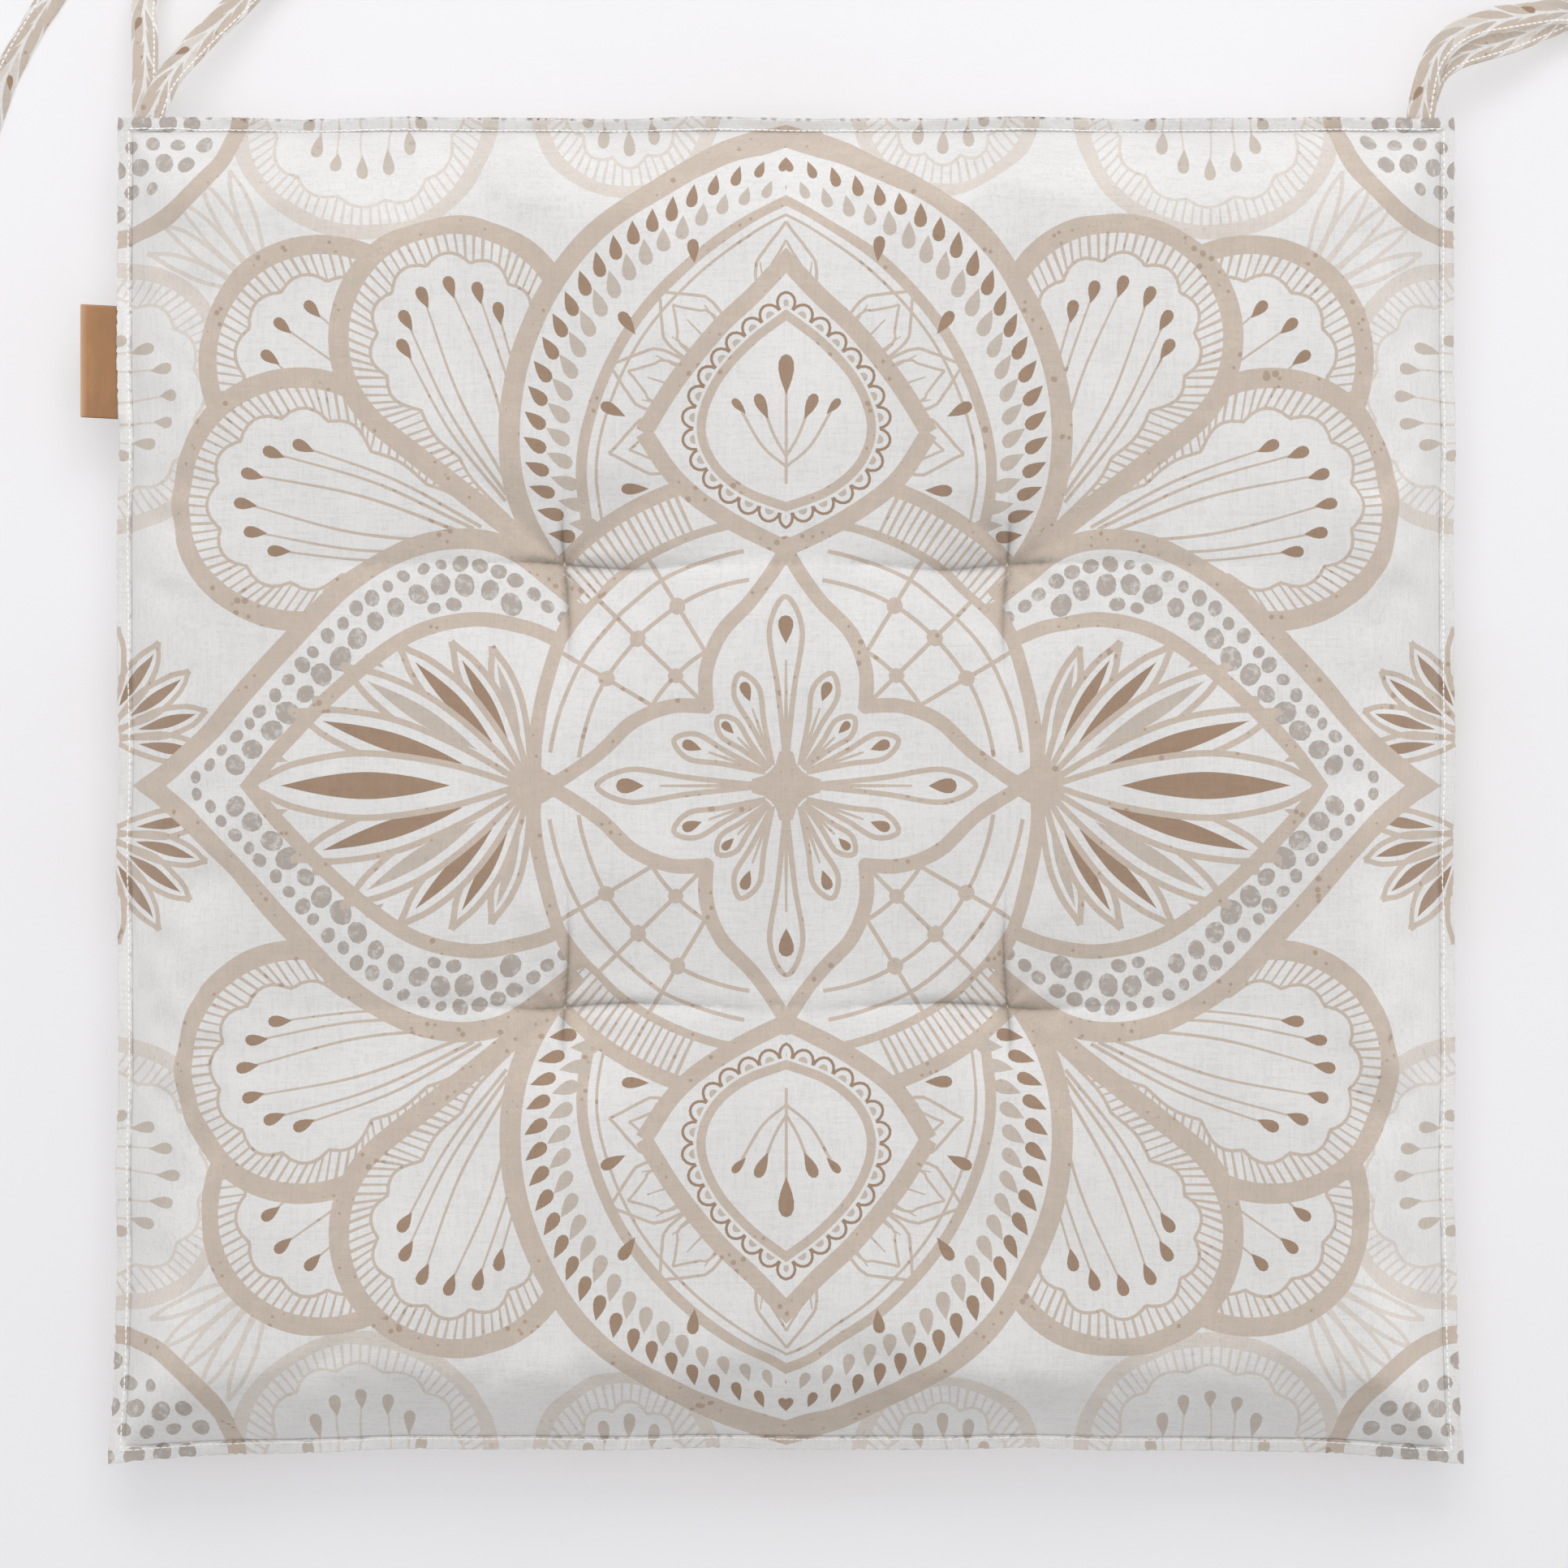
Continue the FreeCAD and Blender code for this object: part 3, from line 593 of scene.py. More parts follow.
def cover(side, u, v):
    """Points of a cover in space, in millimetres, for points of its cloth. Past HALF the cloth folds under."""
    u, v = np.asarray(u, float), np.asarray(v, float)
    over_x, over_y = np.maximum(np.abs(u) - HALF, 0), np.maximum(np.abs(v) - HALF, 0)
    flat_u, flat_v = np.clip(u, -HALF, HALF), np.clip(v, -HALF, HALF)
    x, y = outline(flat_u, flat_v)
    border = np.clip(np.maximum(np.abs(flat_u), np.abs(flat_v)) - ROOT, 0, FLANGE)
    on_panel = border <= 0
    ply = ROOT_PLY + (EDGE_PLY - ROOT_PLY) * smooth(border / 1.6)
    height = np.where(on_panel, pillow(side, flat_u, flat_v), ply)
    moved = sampled(SHIFT[side], flat_u, flat_v) * on_panel[:, None]
    by_label = smooth((LABEL_HALF + 3.2 - np.abs(flat_v - LABEL_MIDDLE)) / 3.2) * smooth((-flat_u - ROOT) / 3.2)
    by_tie = smooth((7.2 - np.abs(np.abs(flat_u) - TIE_ROOT)) / 2.4) * smooth((flat_v - ROOT) / 1.3)
    height = height + 1.05 * by_label + 1.25 * by_tie
    # The turned-in edge.
    over = np.hypot(over_x, over_y)
    turn = np.minimum(over / FOLD_RADIUS, math.pi)
    back = np.maximum(over - math.pi * FOLD_RADIUS, 0)
    reach = (FOLD_RADIUS * np.sin(turn) - back) / np.maximum(over, 1e-9)
    height = height - FOLD_RADIUS * (1 - np.cos(turn))
    x = x + np.sign(u) * over_x * reach
    y = y + np.sign(v) * over_y * reach
    # The border's own waves, and the tip of the back one, which lies flatter where the ties pull on it.
    wave = 0.30 * (border / FLANGE) * ripple(5.0, flat_u * 0.8, flat_v * 0.8)
    z = (1 if side == "top" else -1) * height + wave
    tied = smooth((np.abs(flat_u) - 176) / 7)
    tilt = math.radians(30) * (1 - tied) + math.radians(6) * tied
    tipped = flat_v > ROOT
    out = np.maximum(y - ROOT, 0) * tipped
    share = np.minimum(out, 1)
    y = np.where(tipped, ROOT + out * np.cos(tilt) - z * np.sin(tilt) * share, y)
    z = np.where(tipped, out * np.sin(tilt) + z * (1 + (np.cos(tilt) - 1) * share), z)
    return np.stack([x, y, SEAM_Z + z], 1) + moved


def with_normals(place, u, v, step=0.2):
    """A surface's points and its unit normals, on the side that u and v turn round."""
    u, v = np.asarray(u, float), np.asarray(v, float)
    normal = np.cross(place(u + step, v) - place(u - step, v), place(u, v + step) - place(u, v - step))
    return place(u, v), normal / np.maximum(np.linalg.norm(normal, axis=1)[:, None], 1e-12)


def grid_square(i, j, count):
    """The corners of one square of a grid of points, by their numbers."""
    return [i * count + j, (i + 1) * count + j, (i + 1) * count + j + 1, i * count + j + 1]


def simulate():
    """Inflates both panels as cloth, held at the stitching and the tufts, and keeps how far each point moved."""
    count = len(GRID)
    u, v = (axis.ravel() for axis in np.meshgrid(GRID, GRID, indexing="ij"))
    rest = {side: cover(side, u, v) for side in SHIFT}
    rim = (np.abs(u) > ROOT - 0.1) | (np.abs(v) > ROOT - 0.1)
    rest["bottom"][rim] = rest["top"][rim]
    free = np.flatnonzero(~rim)
    index = {"top": np.arange(count * count), "bottom": np.arange(count * count)}
    index["bottom"][free] = count * count + np.arange(len(free))
    points = np.concatenate([rest["top"], rest["bottom"][free]]) * MM
    faces = []
    for i in range(count - 1):
        for j in range(count - 1):
            square = grid_square(i, j, count)
            faces.append(index["top"][square].tolist())
            faces.append(index["bottom"][square[::-1]].tolist())
    mesh = bpy.data.meshes.new("cushion_cloth")
    mesh.from_pydata(points.tolist(), [], faces)
    body = bpy.data.objects.new("cushion_cloth", mesh)
    SCENE.collection.objects.link(body)
    near_tuft = np.min([np.hypot(u - x, v - y) for x, y in TUFTS], axis=0) < 3.2
    fixed = set(np.concatenate([index[side][rim | near_tuft] for side in index]).tolist())
    body.vertex_groups.new(name="held").add(sorted(fixed), 1.0, "REPLACE")
    cloth = body.modifiers.new("inflate", "CLOTH")
    for name, value in {
        "quality": 4, "mass": 0.25, "tension_stiffness": 18, "compression_stiffness": 14, "shear_stiffness": 6,
        "bending_stiffness": 0.15, "vertex_group_mass": "held", "use_pressure": True, "uniform_pressure_force": 4,
        "shrink_min": -0.022,
    }.items():
        setattr(cloth.settings, name, value)
    cloth.settings.effector_weights.gravity = 0
    cloth.collision_settings.use_collision = False
    cloth.point_cache.frame_start, cloth.point_cache.frame_end = 1, 20
    for step in range(1, 21):
        SCENE.frame_set(step)
    settled = body.evaluated_get(bpy.context.evaluated_depsgraph_get())
    result = np.empty(len(points) * 3)
    settled.data.vertices.foreach_get("co", result)
    moved = (result.reshape(-1, 3) - points) / MM
    for side, most in MOST_MOVED.items():
        shift = moved[index[side]]
        length = np.linalg.norm(shift, axis=1)[:, None]
        shift = shift * np.tanh(length / most) * most / np.maximum(length, 1e-9)
        if side == "bottom":
            shift[:, 2] = np.maximum(shift[:, 2], np.minimum(FLOOR_GAP - rest[side][:, 2], 0))
        SHIFT[side] = shift.reshape(count, count, 3)
    SCENE.frame_set(1)
    bpy.data.objects.remove(body)


simulate()

# ---------------------------------------------------------------- materials

BLACK, WHITE = (0, 0, 0, 1), (1, 1, 1, 1)


def grey(level):
    return (level, level, level, 1)


def scaled(colour, share):
    return (colour[0] * share, colour[1] * share, colour[2] * share, 1.0)


class Shader:
    """A Principled material and short ways to add nodes to it."""

    def __init__(self, name, roughness, sheen=0.0, specular=0.3):
        self.material = bpy.data.materials.new(name)
        self.material.use_nodes = True
        self.tree = self.material.node_tree
        self.base = self.tree.nodes["Principled BSDF"]
        for socket, value in (("Roughness", roughness), ("Specular IOR Level", specular), ("Sheen Weight", sheen),
                              ("Sheen Roughness", 0.5)):
            self.base.inputs[socket].default_value = value
        self.place = self.node("TexCoord").outputs["Object"]
        self.bumps = None

    def node(self, kind, sockets=None, **settings):
        """A node with its sockets linked or set, by name or number, and its settings."""
        node = self.tree.nodes.new("ShaderNode" + kind)
        for name, value in settings.items():
            setattr(node, name, value)
        for socket, value in (sockets or {}).items():
            if isinstance(value, bpy.types.NodeSocket):
                self.tree.links.new(value, node.inputs[socket])
            else:
                node.inputs[socket].default_value = value
        return node

    def noise(self, scale, detail=2.0, stretch=(1, 1, 1), roughness=0.5):
        """A noise of the piece's own coordinates, stretched along an axis where stretch is under 1."""
        mapping = self.node("Mapping", {"Scale": stretch, "Vector": self.place})
        return self.node("TexNoise", {
            "Scale": scale, "Detail": detail, "Roughness": roughness, "Vector": mapping.outputs["Vector"],
        }).outputs["Fac"]

    def cells(self, scale, **settings):
        """The distance field of a Voronoi texture."""
        return self.node("TexVoronoi", {"Scale": scale, "Vector": self.place}, **settings).outputs["Distance"]

    def attribute(self, name):
        return self.node("Attribute", attribute_name=name).outputs["Fac"]

    def ramp(self, value, *stops):
        """A value through a colour ramp: (position, colour) stops."""
        ramp = self.node("ValToRGB", {"Fac": value})
        while len(ramp.color_ramp.elements) < len(stops):
            ramp.color_ramp.elements.new(0.5)
        for element, (position, colour) in zip(ramp.color_ramp.elements, stops):
            element.position, element.color = position, colour
        return ramp.outputs["Color"]

    def mix(self, kind, share, first, second):
        """Two colours mixed. Share and the colours are sockets or constants."""
        return self.node("Mix", {0: share, 6: first, 7: second}, data_type="RGBA", blend_type=kind).outputs[2]

    def add(self, first, second, weight=1.0):
        """first plus weight times second."""
        return self.node("Math", {0: second, 1: weight, 2: first}, operation="MULTIPLY_ADD").outputs[0]

    def bump(self, height, strength, distance):
        sockets = {"Strength": strength, "Distance": distance, "Height": height}
        if self.bumps is not None:
            sockets["Normal"] = self.bumps
        self.bumps = self.node("Bump", sockets).outputs["Normal"]

    def finished(self, colour):
        """The material, with its colour and its bumps put in."""
        self.tree.links.new(colour, self.base.inputs["Base Color"])
        if self.bumps is not None:
            self.tree.links.new(self.bumps, self.base.inputs["Normal"])
        return self.material


def cloth_material(name, ink, speckle, patchy, dark_rim):
    """Plain-woven cotton in one ink: slubby threads both ways, mottling, a few specks and a soft sheen."""
    shader = Shader(name, 0.86, sheen=0.22, specular=0.22)
    weave, slubs = (
        shader.add(*(shader.noise(scale, detail, stretch) for stretch in ((1, thin, 1), (thin, 1, 1))))
        for scale, detail, thin in ((2500, 1.5, 0.16), (1000, 1.0, 0.1))
    )
    tone = shader.ramp(shader.noise(26, 3.0, roughness=0.6), (0.32, scaled(ink, 0.945)), (0.66, scaled(ink, 1.03)))
    tone = shader.mix("MULTIPLY", 0.6, tone, shader.ramp(weave, (0.78, grey(0.90)), (1.0, WHITE)))
    # Painted shade: the cloth's colour is darkened in the tufts' creases by the crease attribute.
    tone = shader.mix("MULTIPLY", shader.attribute("crease"), tone, scaled((1, 0.985, 0.97), 0.52))
    tone = shader.mix("MULTIPLY", 0.5, tone, shader.ramp(slubs, (0.82, grey(0.90)), (1.06, WHITE)))
    if patchy:
        share = shader.ramp(shader.noise(420, 3.0, roughness=0.7), (0.50, BLACK), (0.66, grey(patchy)))
        tone = shader.mix("MIX", share, tone, linear(232, 231, 229))
    if dark_rim:
        share = shader.ramp(shader.noise(170, 4.0, roughness=0.65), (0.46, grey(dark_rim)), (0.60, BLACK))
        tone = shader.mix("MIX", share, tone, scaled(ink, 0.86))
    if speckle:
        grains = shader.add(shader.cells(330), shader.noise(60), -1.3)
        lifted = shader.node("Math", {0: grains, 1: 0.62}, operation="ADD").outputs[0]
        share = shader.ramp(lifted, (0.0, grey(speckle)), (0.10, BLACK))
        tone = shader.mix("MIX", share, tone, linear(148, 118, 92))
    shader.bump(weave, 0.32, 0.00022)
    shader.bump(shader.noise(75, 3.0), 0.18, 0.0007)
    return shader.finished(tone)


def leather_material(name, tone, grain, edge=False):
    """Tan leather: fine pebbled grain, uneven dye and a little gloss, or its burnished cut edge."""
    shader = Shader(name, 0.42 if edge else 0.47, specular=0.5)
    dye = shader.noise(140, 4.0, (1, 0.35, 1), 0.6)
    colour = shader.ramp(dye, (0.3, scaled(tone, 0.84)), (0.7, scaled(tone, 1.14)))
    if not edge:
        # Painted shade, darker towards the border, and a painted highlight, paler along the fold.
        painted_light_share = shader.attribute("painted_light_share")
        shade = shader.ramp(painted_light_share, (0.0, grey(0.84)), (0.5, grey(0.97)), (0.8, (1.04, 1.03, 1.02, 1)))
        colour = shader.mix("MULTIPLY", 1.0, colour, shade)
        # Painted highlight: a paler colour mixed in along the fold.
        fold_highlight_share = shader.ramp(painted_light_share, (0.86, BLACK), (0.98, grey(0.8)))
        colour = shader.mix("MIX", fold_highlight_share, colour, linear(206, 164, 128))
    pebbles = shader.ramp(shader.cells(grain, feature="DISTANCE_TO_EDGE"), (0.0, BLACK), (0.16, WHITE))
    shader.bump(pebbles, 0.22, 0.00012)
    shader.bump(shader.noise(900, 3.0), 0.15, 0.0001)
    return shader.finished(colour)


def fibre_material(name, tone, roughness, sheen, noise, bump, dark, light):
    """Spun thread, open-pored foam or lofty wadding: two shades of one noise, which is its relief as well."""
    shader = Shader(name, roughness, sheen)
    fibres = shader.noise(*noise)
    shader.bump(fibres, *bump)
    return shader.finished(shader.ramp(fibres, (0.3, scaled(tone, dark)), (light, tone)))


def thread_material(name, tone, twist):
    return fibre_material(name, tone, 0.6, 0.3, (twist, 2.0, (1, 1, 0.5)), (0.35, 0.0001), 0.86, 0.7)


def filling_material(name, tone, scale, pores):
    return fibre_material(name, tone, 0.95, 0.1, (scale, 4.0, (1, 1, 1), 0.7), (pores, 0.0012), 0.8, 0.6)


INKS = [
    cloth_material(f"cotton_{name}", linear(*tone), speckle, patchy, dark_rim)
    for name, tone, speckle, patchy, dark_rim in (
        ("ground", (226, 225, 224), 0, 0, 0), ("sand_ink", (202, 188, 175), 0.5, 0, 0.35),
        ("taupe_ink", (198, 187, 176), 0.2, 0, 0.3), ("brown_ink", (163, 138, 117), 0.35, 0, 0.35),
        ("grey_ink", (180, 171, 164), 0, 0.5, 0.4), ("faded_ink", (216, 208, 200), 0.15, 0, 0.1),
    )
]
LEATHER = leather_material("tan_leather", linear(163, 119, 79), 1500)
LEATHER_EDGE = leather_material("burnished_leather_edge", linear(104, 72, 48), 2600, True)
WHITE_THREAD = thread_material("white_sewing_thread", linear(253, 253, 252), 2600)
TUFT_THREAD = thread_material("waxed_tuft_thread", linear(232, 229, 223), 1800)
FOAM = filling_material("pale_foam", linear(236, 224, 186), 900, 0.5)
WADDING = filling_material("polyester_wadding", linear(246, 246, 246), 160, 0.7)

# ---------------------------------------------------------------- mesh builders


def new_piece(name, points, faces, materials, material_index=None, uvs=None, normals=None, fields=None):
    """A smooth mesh piece from points in millimetres, with named fields of one value a point."""
    mesh = bpy.data.meshes.new(name)
    mesh.from_pydata((np.asarray(points) * MM).tolist(), [], [list(map(int, face)) for face in faces])
    for material in materials:
        mesh.materials.append(material)
    if material_index is not None:
        mesh.polygons.foreach_set("material_index", np.asarray(material_index, np.int32))
    mesh.polygons.foreach_set("use_smooth", np.ones(len(mesh.polygons), bool))
    if uvs is not None:
        mesh.uv_layers.new(name="OFBake").uv.foreach_set("vector", np.asarray(uvs, float).ravel())
    if normals is not None:
        mesh.normals_split_custom_set_from_vertices(normals.tolist())
    for field, values in (fields or {}).items():
        mesh.attributes.new(field, "FLOAT", "POINT").data.foreach_set("value", np.asarray(values, np.float32))
    piece = bpy.data.objects.new(name, mesh)
    SCENE.collection.objects.link(piece)
    return piece


def mirrored(flat, triangles, inks, ways):
    """A piece of print repeated by mirroring, its seams welded: ways are the signs of its two axes."""
    points = np.concatenate([flat * way for way in ways])
    joined = np.concatenate([triangles[:, ::across * up] + number * len(flat)
                             for number, (across, up) in enumerate(ways)])
    _, first, packed = np.unique(np.round(points, 3) + 0.0, axis=0, return_index=True, return_inverse=True)
    joined = packed.reshape(-1)[joined]
    whole = (joined != np.roll(joined, 1, axis=1)).all(axis=1)
    return points[first], joined[whole], np.tile(inks, len(ways))[whole]


def cloth_piece(name, cloth, place, uv_scale, uv_shift, outward=1, painted_crease_shade=0.0):
    """Printed cloth laid on a surface: place turns the cloth's points into points in space."""
    flat, triangles, inks = cloth
    points, normals = with_normals(place, flat[:, 0], flat[:, 1])
    triangles = triangles[:, ::outward]
    uvs = (flat * uv_scale + uv_shift)[triangles.ravel()]
    # The painted crease shade, kept as the crease attribute and scaled by painted_crease_shade.
    fields = {"crease": crease_shade(flat[:, 0], flat[:, 1]) * painted_crease_shade}
    return new_piece(name, points, triangles, INKS, inks, uvs, normals * outward, fields)


def tubes(name, paths, radius, material, profile, reference=(0, 0, 1), sides=6):
    """Threads of one thickness along paths of the same number of points, as one piece."""
    paths = np.asarray(paths, float)
    number, length = paths.shape[:2]

    def unit(vectors):
        return vectors / np.maximum(np.linalg.norm(vectors, axis=2)[..., None], 1e-9)

    ahead = unit(np.gradient(paths, axis=1))
    side = unit(np.cross(ahead, np.array(reference, float)))
    up = np.cross(side, ahead)
    turns = np.arange(sides) / sides * math.tau
    wheel = np.stack([np.cos(turns), np.sin(turns)], 1)
    reach = radius * np.asarray(profile, float)[None, :, None, None]
    rings = paths[:, :, None] + reach * (side[:, :, None] * wheel[:, :1] + up[:, :, None] * wheel[:, 1:])
    ring, corner = (axis.ravel() for axis in np.meshgrid(np.arange(length - 1), np.arange(sides), indexing="ij"))
    steps = ((0, 0), (1, 0), (1, 1), (0, 1))
    quads = np.stack([(ring + on) * sides + (corner + past) % sides for on, past in steps], 1)
    spots = np.stack([np.stack([ring + on, corner + past], 1) for on, past in steps], 1) / (length - 1, sides)
    columns = math.ceil(math.sqrt(number))
    faces, uvs = [], []
    for index in range(number):
        cell = np.array([index % columns, index // columns])
        start = index * length * sides
        faces.extend((quads + start).tolist())
        uvs.append((cell + 0.03 + spots.reshape(-1, 2) * 0.9) / columns)
        for cap in (range(sides), reversed(range((length - 1) * sides, length * sides))):
            faces.append([start + place for place in cap])
            uvs.append((cell + wheel * 0.012 + 0.965) / columns)
    return new_piece(name, rings.reshape(-1, 3), faces, [material], uvs=np.concatenate(uvs))


STITCH_PROFILE = (0.45, 0.9, 1.0, 0.9, 0.45)


def sewn_line(name, place, centres, headings, length, radius, outward=1, lift=0.2):
    """A line of separate stitches that dip into the cloth at their ends, as one piece."""
    centres = np.asarray(centres, float)
    paths = []
    for share, height in ((-0.5, -0.22), (-0.34, 0.6), (0.0, 1.0), (0.34, 0.6), (0.5, -0.22)):
        points, normals = with_normals(place, *(centres + headings * length * share).T)
        paths.append(points + normals * (height * lift) * outward)
    return tubes(name, np.stack(paths, 1), radius, WHITE_THREAD, STITCH_PROFILE)


def side_stitches(inset, pitch):
    """Centres and headings of a line of stitches round the pad, inside its edge by inset."""
    reach = HALF - inset
    places = np.arange(-reach + pitch / 2, reach, pitch)
    centres = np.array([spot for sign in (-1, 1) for spot in
                        [(sign * reach, place) for place in places] + [(place, sign * reach) for place in places]])
    centres = centres + np.random.default_rng(3).normal(0, 0.04, centres.shape)
    return centres, np.tile(np.repeat([(0.0, 1.0), (1.0, 0.0)], len(places), axis=0), (2, 1))


def declare(piece, slot, *nodes):
    """Rides on the pad and stands for CAD nodes, which it hides. Its slot is not used."""
    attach(piece, "pad")
    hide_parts(*nodes)
    return piece


# ---------------------------------------------------------------- covers


def quarter_points():
    """Extra points that the covers' shape needs on a quarter of the cloth, and lines it folds along."""
    points = [(x, y) for x in np.arange(1.0, ROOT, 4.3) for y in np.arange(1.0, ROOT, 4.3)]
    for inset in (-6.4, -5.5, -5.2, -4.9, -4.55, -3.1, -1.8, -0.8, 0.6, 1.3, 2.3, 3.7, 5.5, 7.8, 10.6, 14, 18, 23):
        reach = ROOT - inset
        for run in (np.arange(0.0, ROOT, 2.6), np.arange(ROOT, reach, 0.7)):
            points += [(reach, place) for place in run] + [(place, reach) for place in run]
    for reach in (0.0, 0.8, 1.6, 2.5, 3.6, 5, 6.6, 8.5, 10.8, 13.5, 17, 21, 26):
        for turn in np.arange(0, math.tau, min(1.2, 2.2 / max(reach, 0.5))):
            points.append((TUFT + reach * math.cos(turn + reach), TUFT + reach * math.sin(turn + reach)))
    for aside in (-3.6, -2.3, -1.3, -0.65, 0.65, 1.3, 2.3, 3.6):
        for place in np.arange(-46, 30, 1.9):
            level = TUFT + wander(place) + aside
            points += [(TUFT + place, level), (level, TUFT + place)]
    lines = [[(edge, 0), (edge, FAR)] for edge in (ROOT, HALF)]
    lines += [[(0, edge), (FAR, edge)] for edge in (ROOT, HALF)]
    crease = np.arange(-46, 30, 1.7)
    crease = np.stack([TUFT + crease, TUFT + wander(crease)], 1)
    return points, [*lines, crease, crease[:, ::-1]]


QUARTER = tessellated(mandala(), (0, 0), (FAR, FAR), *quarter_points())
PANEL = mirrored(*QUARTER, ((1, 1), (-1, 1), (-1, -1), (1, -1)))


def top_cover(u, v):
    return cover("top", u, v)


def bottom_cover(u, v):
    return cover("bottom", u, v)


# Painted crease shade at full strength on the top cover and weaker underneath.
top = cloth_piece("printed_top_cover", PANEL, top_cover, 0.49 / FAR, 0.5, painted_crease_shade=1.0)
declare(top, "printed_cloth", "top_cover")
bottom = cloth_piece("printed_bottom_cover", PANEL, bottom_cover, 0.49 / FAR, 0.5, -1, 0.3)
declare(bottom, "printed_cloth", "bottom_cover")

SEWN = side_stitches(FLANGE - 1.25, 1.9)
line = sewn_line("edge_topstitches", top_cover, *SEWN, 1.7, 0.23, 1, 0.28)
declare(line, "sewing_thread", "edge_topstitch")
line = sewn_line("edge_bobbin_stitches", bottom_cover, *SEWN, 1.42, 0.24, -1)
declare(line, "sewing_thread", "edge_bobbin_thread")

# The hidden seam between the plies.
reach = HALF - 0.9
ring = np.array([(reach, -reach), (reach, reach), (-reach, reach), (-reach, -reach), (reach, -reach)])
ring = along(ring, pitch=2.5)[0]
middle_line = (top_cover(*ring.T) + bottom_cover(*ring.T)) / 2
line = tubes("edge_seam_line", [middle_line], 0.12, WHITE_THREAD, np.ones(len(ring)))
declare(line, "sewing_thread", "edge_seam_thread")

# ---------------------------------------------------------------- filling and tufts


def slab(name, under, over, limit, material, slot, node, count):
    """A closed layer of filling between two heights, over a square."""
    steps = np.linspace(-limit, limit, count)
    u, v = (axis.ravel() for axis in np.meshgrid(steps, steps, indexing="ij"))
    pull = 1 - 0.012 * (np.abs(u) / limit) ** 4 * (1 - np.abs(v) / limit)
    low = under(u, v)
    high = np.maximum(over(u, v), low + 0.3)
    points = np.concatenate([np.stack([u * pull, v, level], 1) for level in (high, low)])
    faces = []
    shift = count * count
    for i in range(count - 1):
        for j in range(count - 1):
            a, b, c, d = grid_square(i, j, count)
            faces += [(a, b, c, d), (a + shift, d + shift, c + shift, b + shift)]
    rim = [i * count for i in range(count)] + [(count - 1) * count + j for j in range(1, count)]
    rim += [i * count + count - 1 for i in range(count - 2, -1, -1)] + list(range(count - 2, 0, -1))
    faces += [(first, first + shift, second + shift, second) for first, second in zip(rim, rim[1:] + rim[:1])]
    piece = new_piece(name, points, faces, [material])
    declare(piece, slot, node)


def height(side, shift):
    """A cover's height in space, moved up by shift, as a function of places on its cloth."""
    return lambda u, v: cover(side, u, v)[:, 2] + shift


def past_foam(inner, gap, outer):
    """A height a gap off the foam, changing to another where the wadding reaches past the foam's edge."""
    def level(u, v):
        beyond = smooth((np.maximum(np.abs(u), np.abs(v)) - 173) / 6)
        return (inner(u, v) + gap) * (1 - beyond) + outer * beyond
    return level


foam_low, foam_high = height("bottom", 5.4), height("top", -7.0)
slab("foam_slab", foam_low, foam_high, 171, FOAM, "foam", "foam_core", 64)
slab("upper_wadding_layer", past_foam(foam_high, 0.3, 21.2), height("top", -3.2), 181,
     WADDING, "wadding", "upper_wadding", 110)
slab("lower_wadding_layer", height("bottom", 2.6), past_foam(foam_low, -0.3, 20.4), 181,
     WADDING, "wadding", "lower_wadding", 110)


def tuft_strands(x, y, count=40):
    """A tuft's thread: two plies down through the pad, two bars on each face and a knot underneath."""
    (high,), (low,) = (height(side, shift)([x], [y]) for side, shift in (("top", 0.1), ("bottom", -0.35)))
    turns = np.linspace(0, math.tau * 4, count)
    heights = np.linspace(high - 0.5, low + 0.5, count)
    strands = [np.stack([x + 0.42 * np.cos(turns + phase), y + 0.42 * np.sin(turns + phase), heights], 1)
               for phase in (0, math.pi)]
    across = np.linspace(-2.0, 2.0, count)
    for shift in (-0.45, 0.45):
        for level, bow in ((high, 0.25), (low, -0.25)):
            sunk = level + bow * np.cos(across / 2.0 * math.pi / 2) - bow
            strands.append(np.stack([x + across, y + shift + 0.1 * across, sunk], 1))
    turns = np.linspace(0, math.tau * 1.75, count)
    strands.append(np.stack([x + 1.0 * np.cos(turns) * (1 - turns / 30), y + 0.8 * np.sin(turns),
                             low - 0.1 + 0.5 * np.sin(turns * 1.5)], 1))
    return strands


for (x, y), corner in zip(TUFTS, ("front_left", "front_right", "back_left", "back_right")):
    piece = tubes("tuft_stitch_" + corner, tuft_strands(x, y), 0.42, TUFT_THREAD, np.ones(40), (0.3, 0.2, 1))
    declare(piece, "tuft_thread", "tuft_thread_" + corner)

# ---------------------------------------------------------------- ties

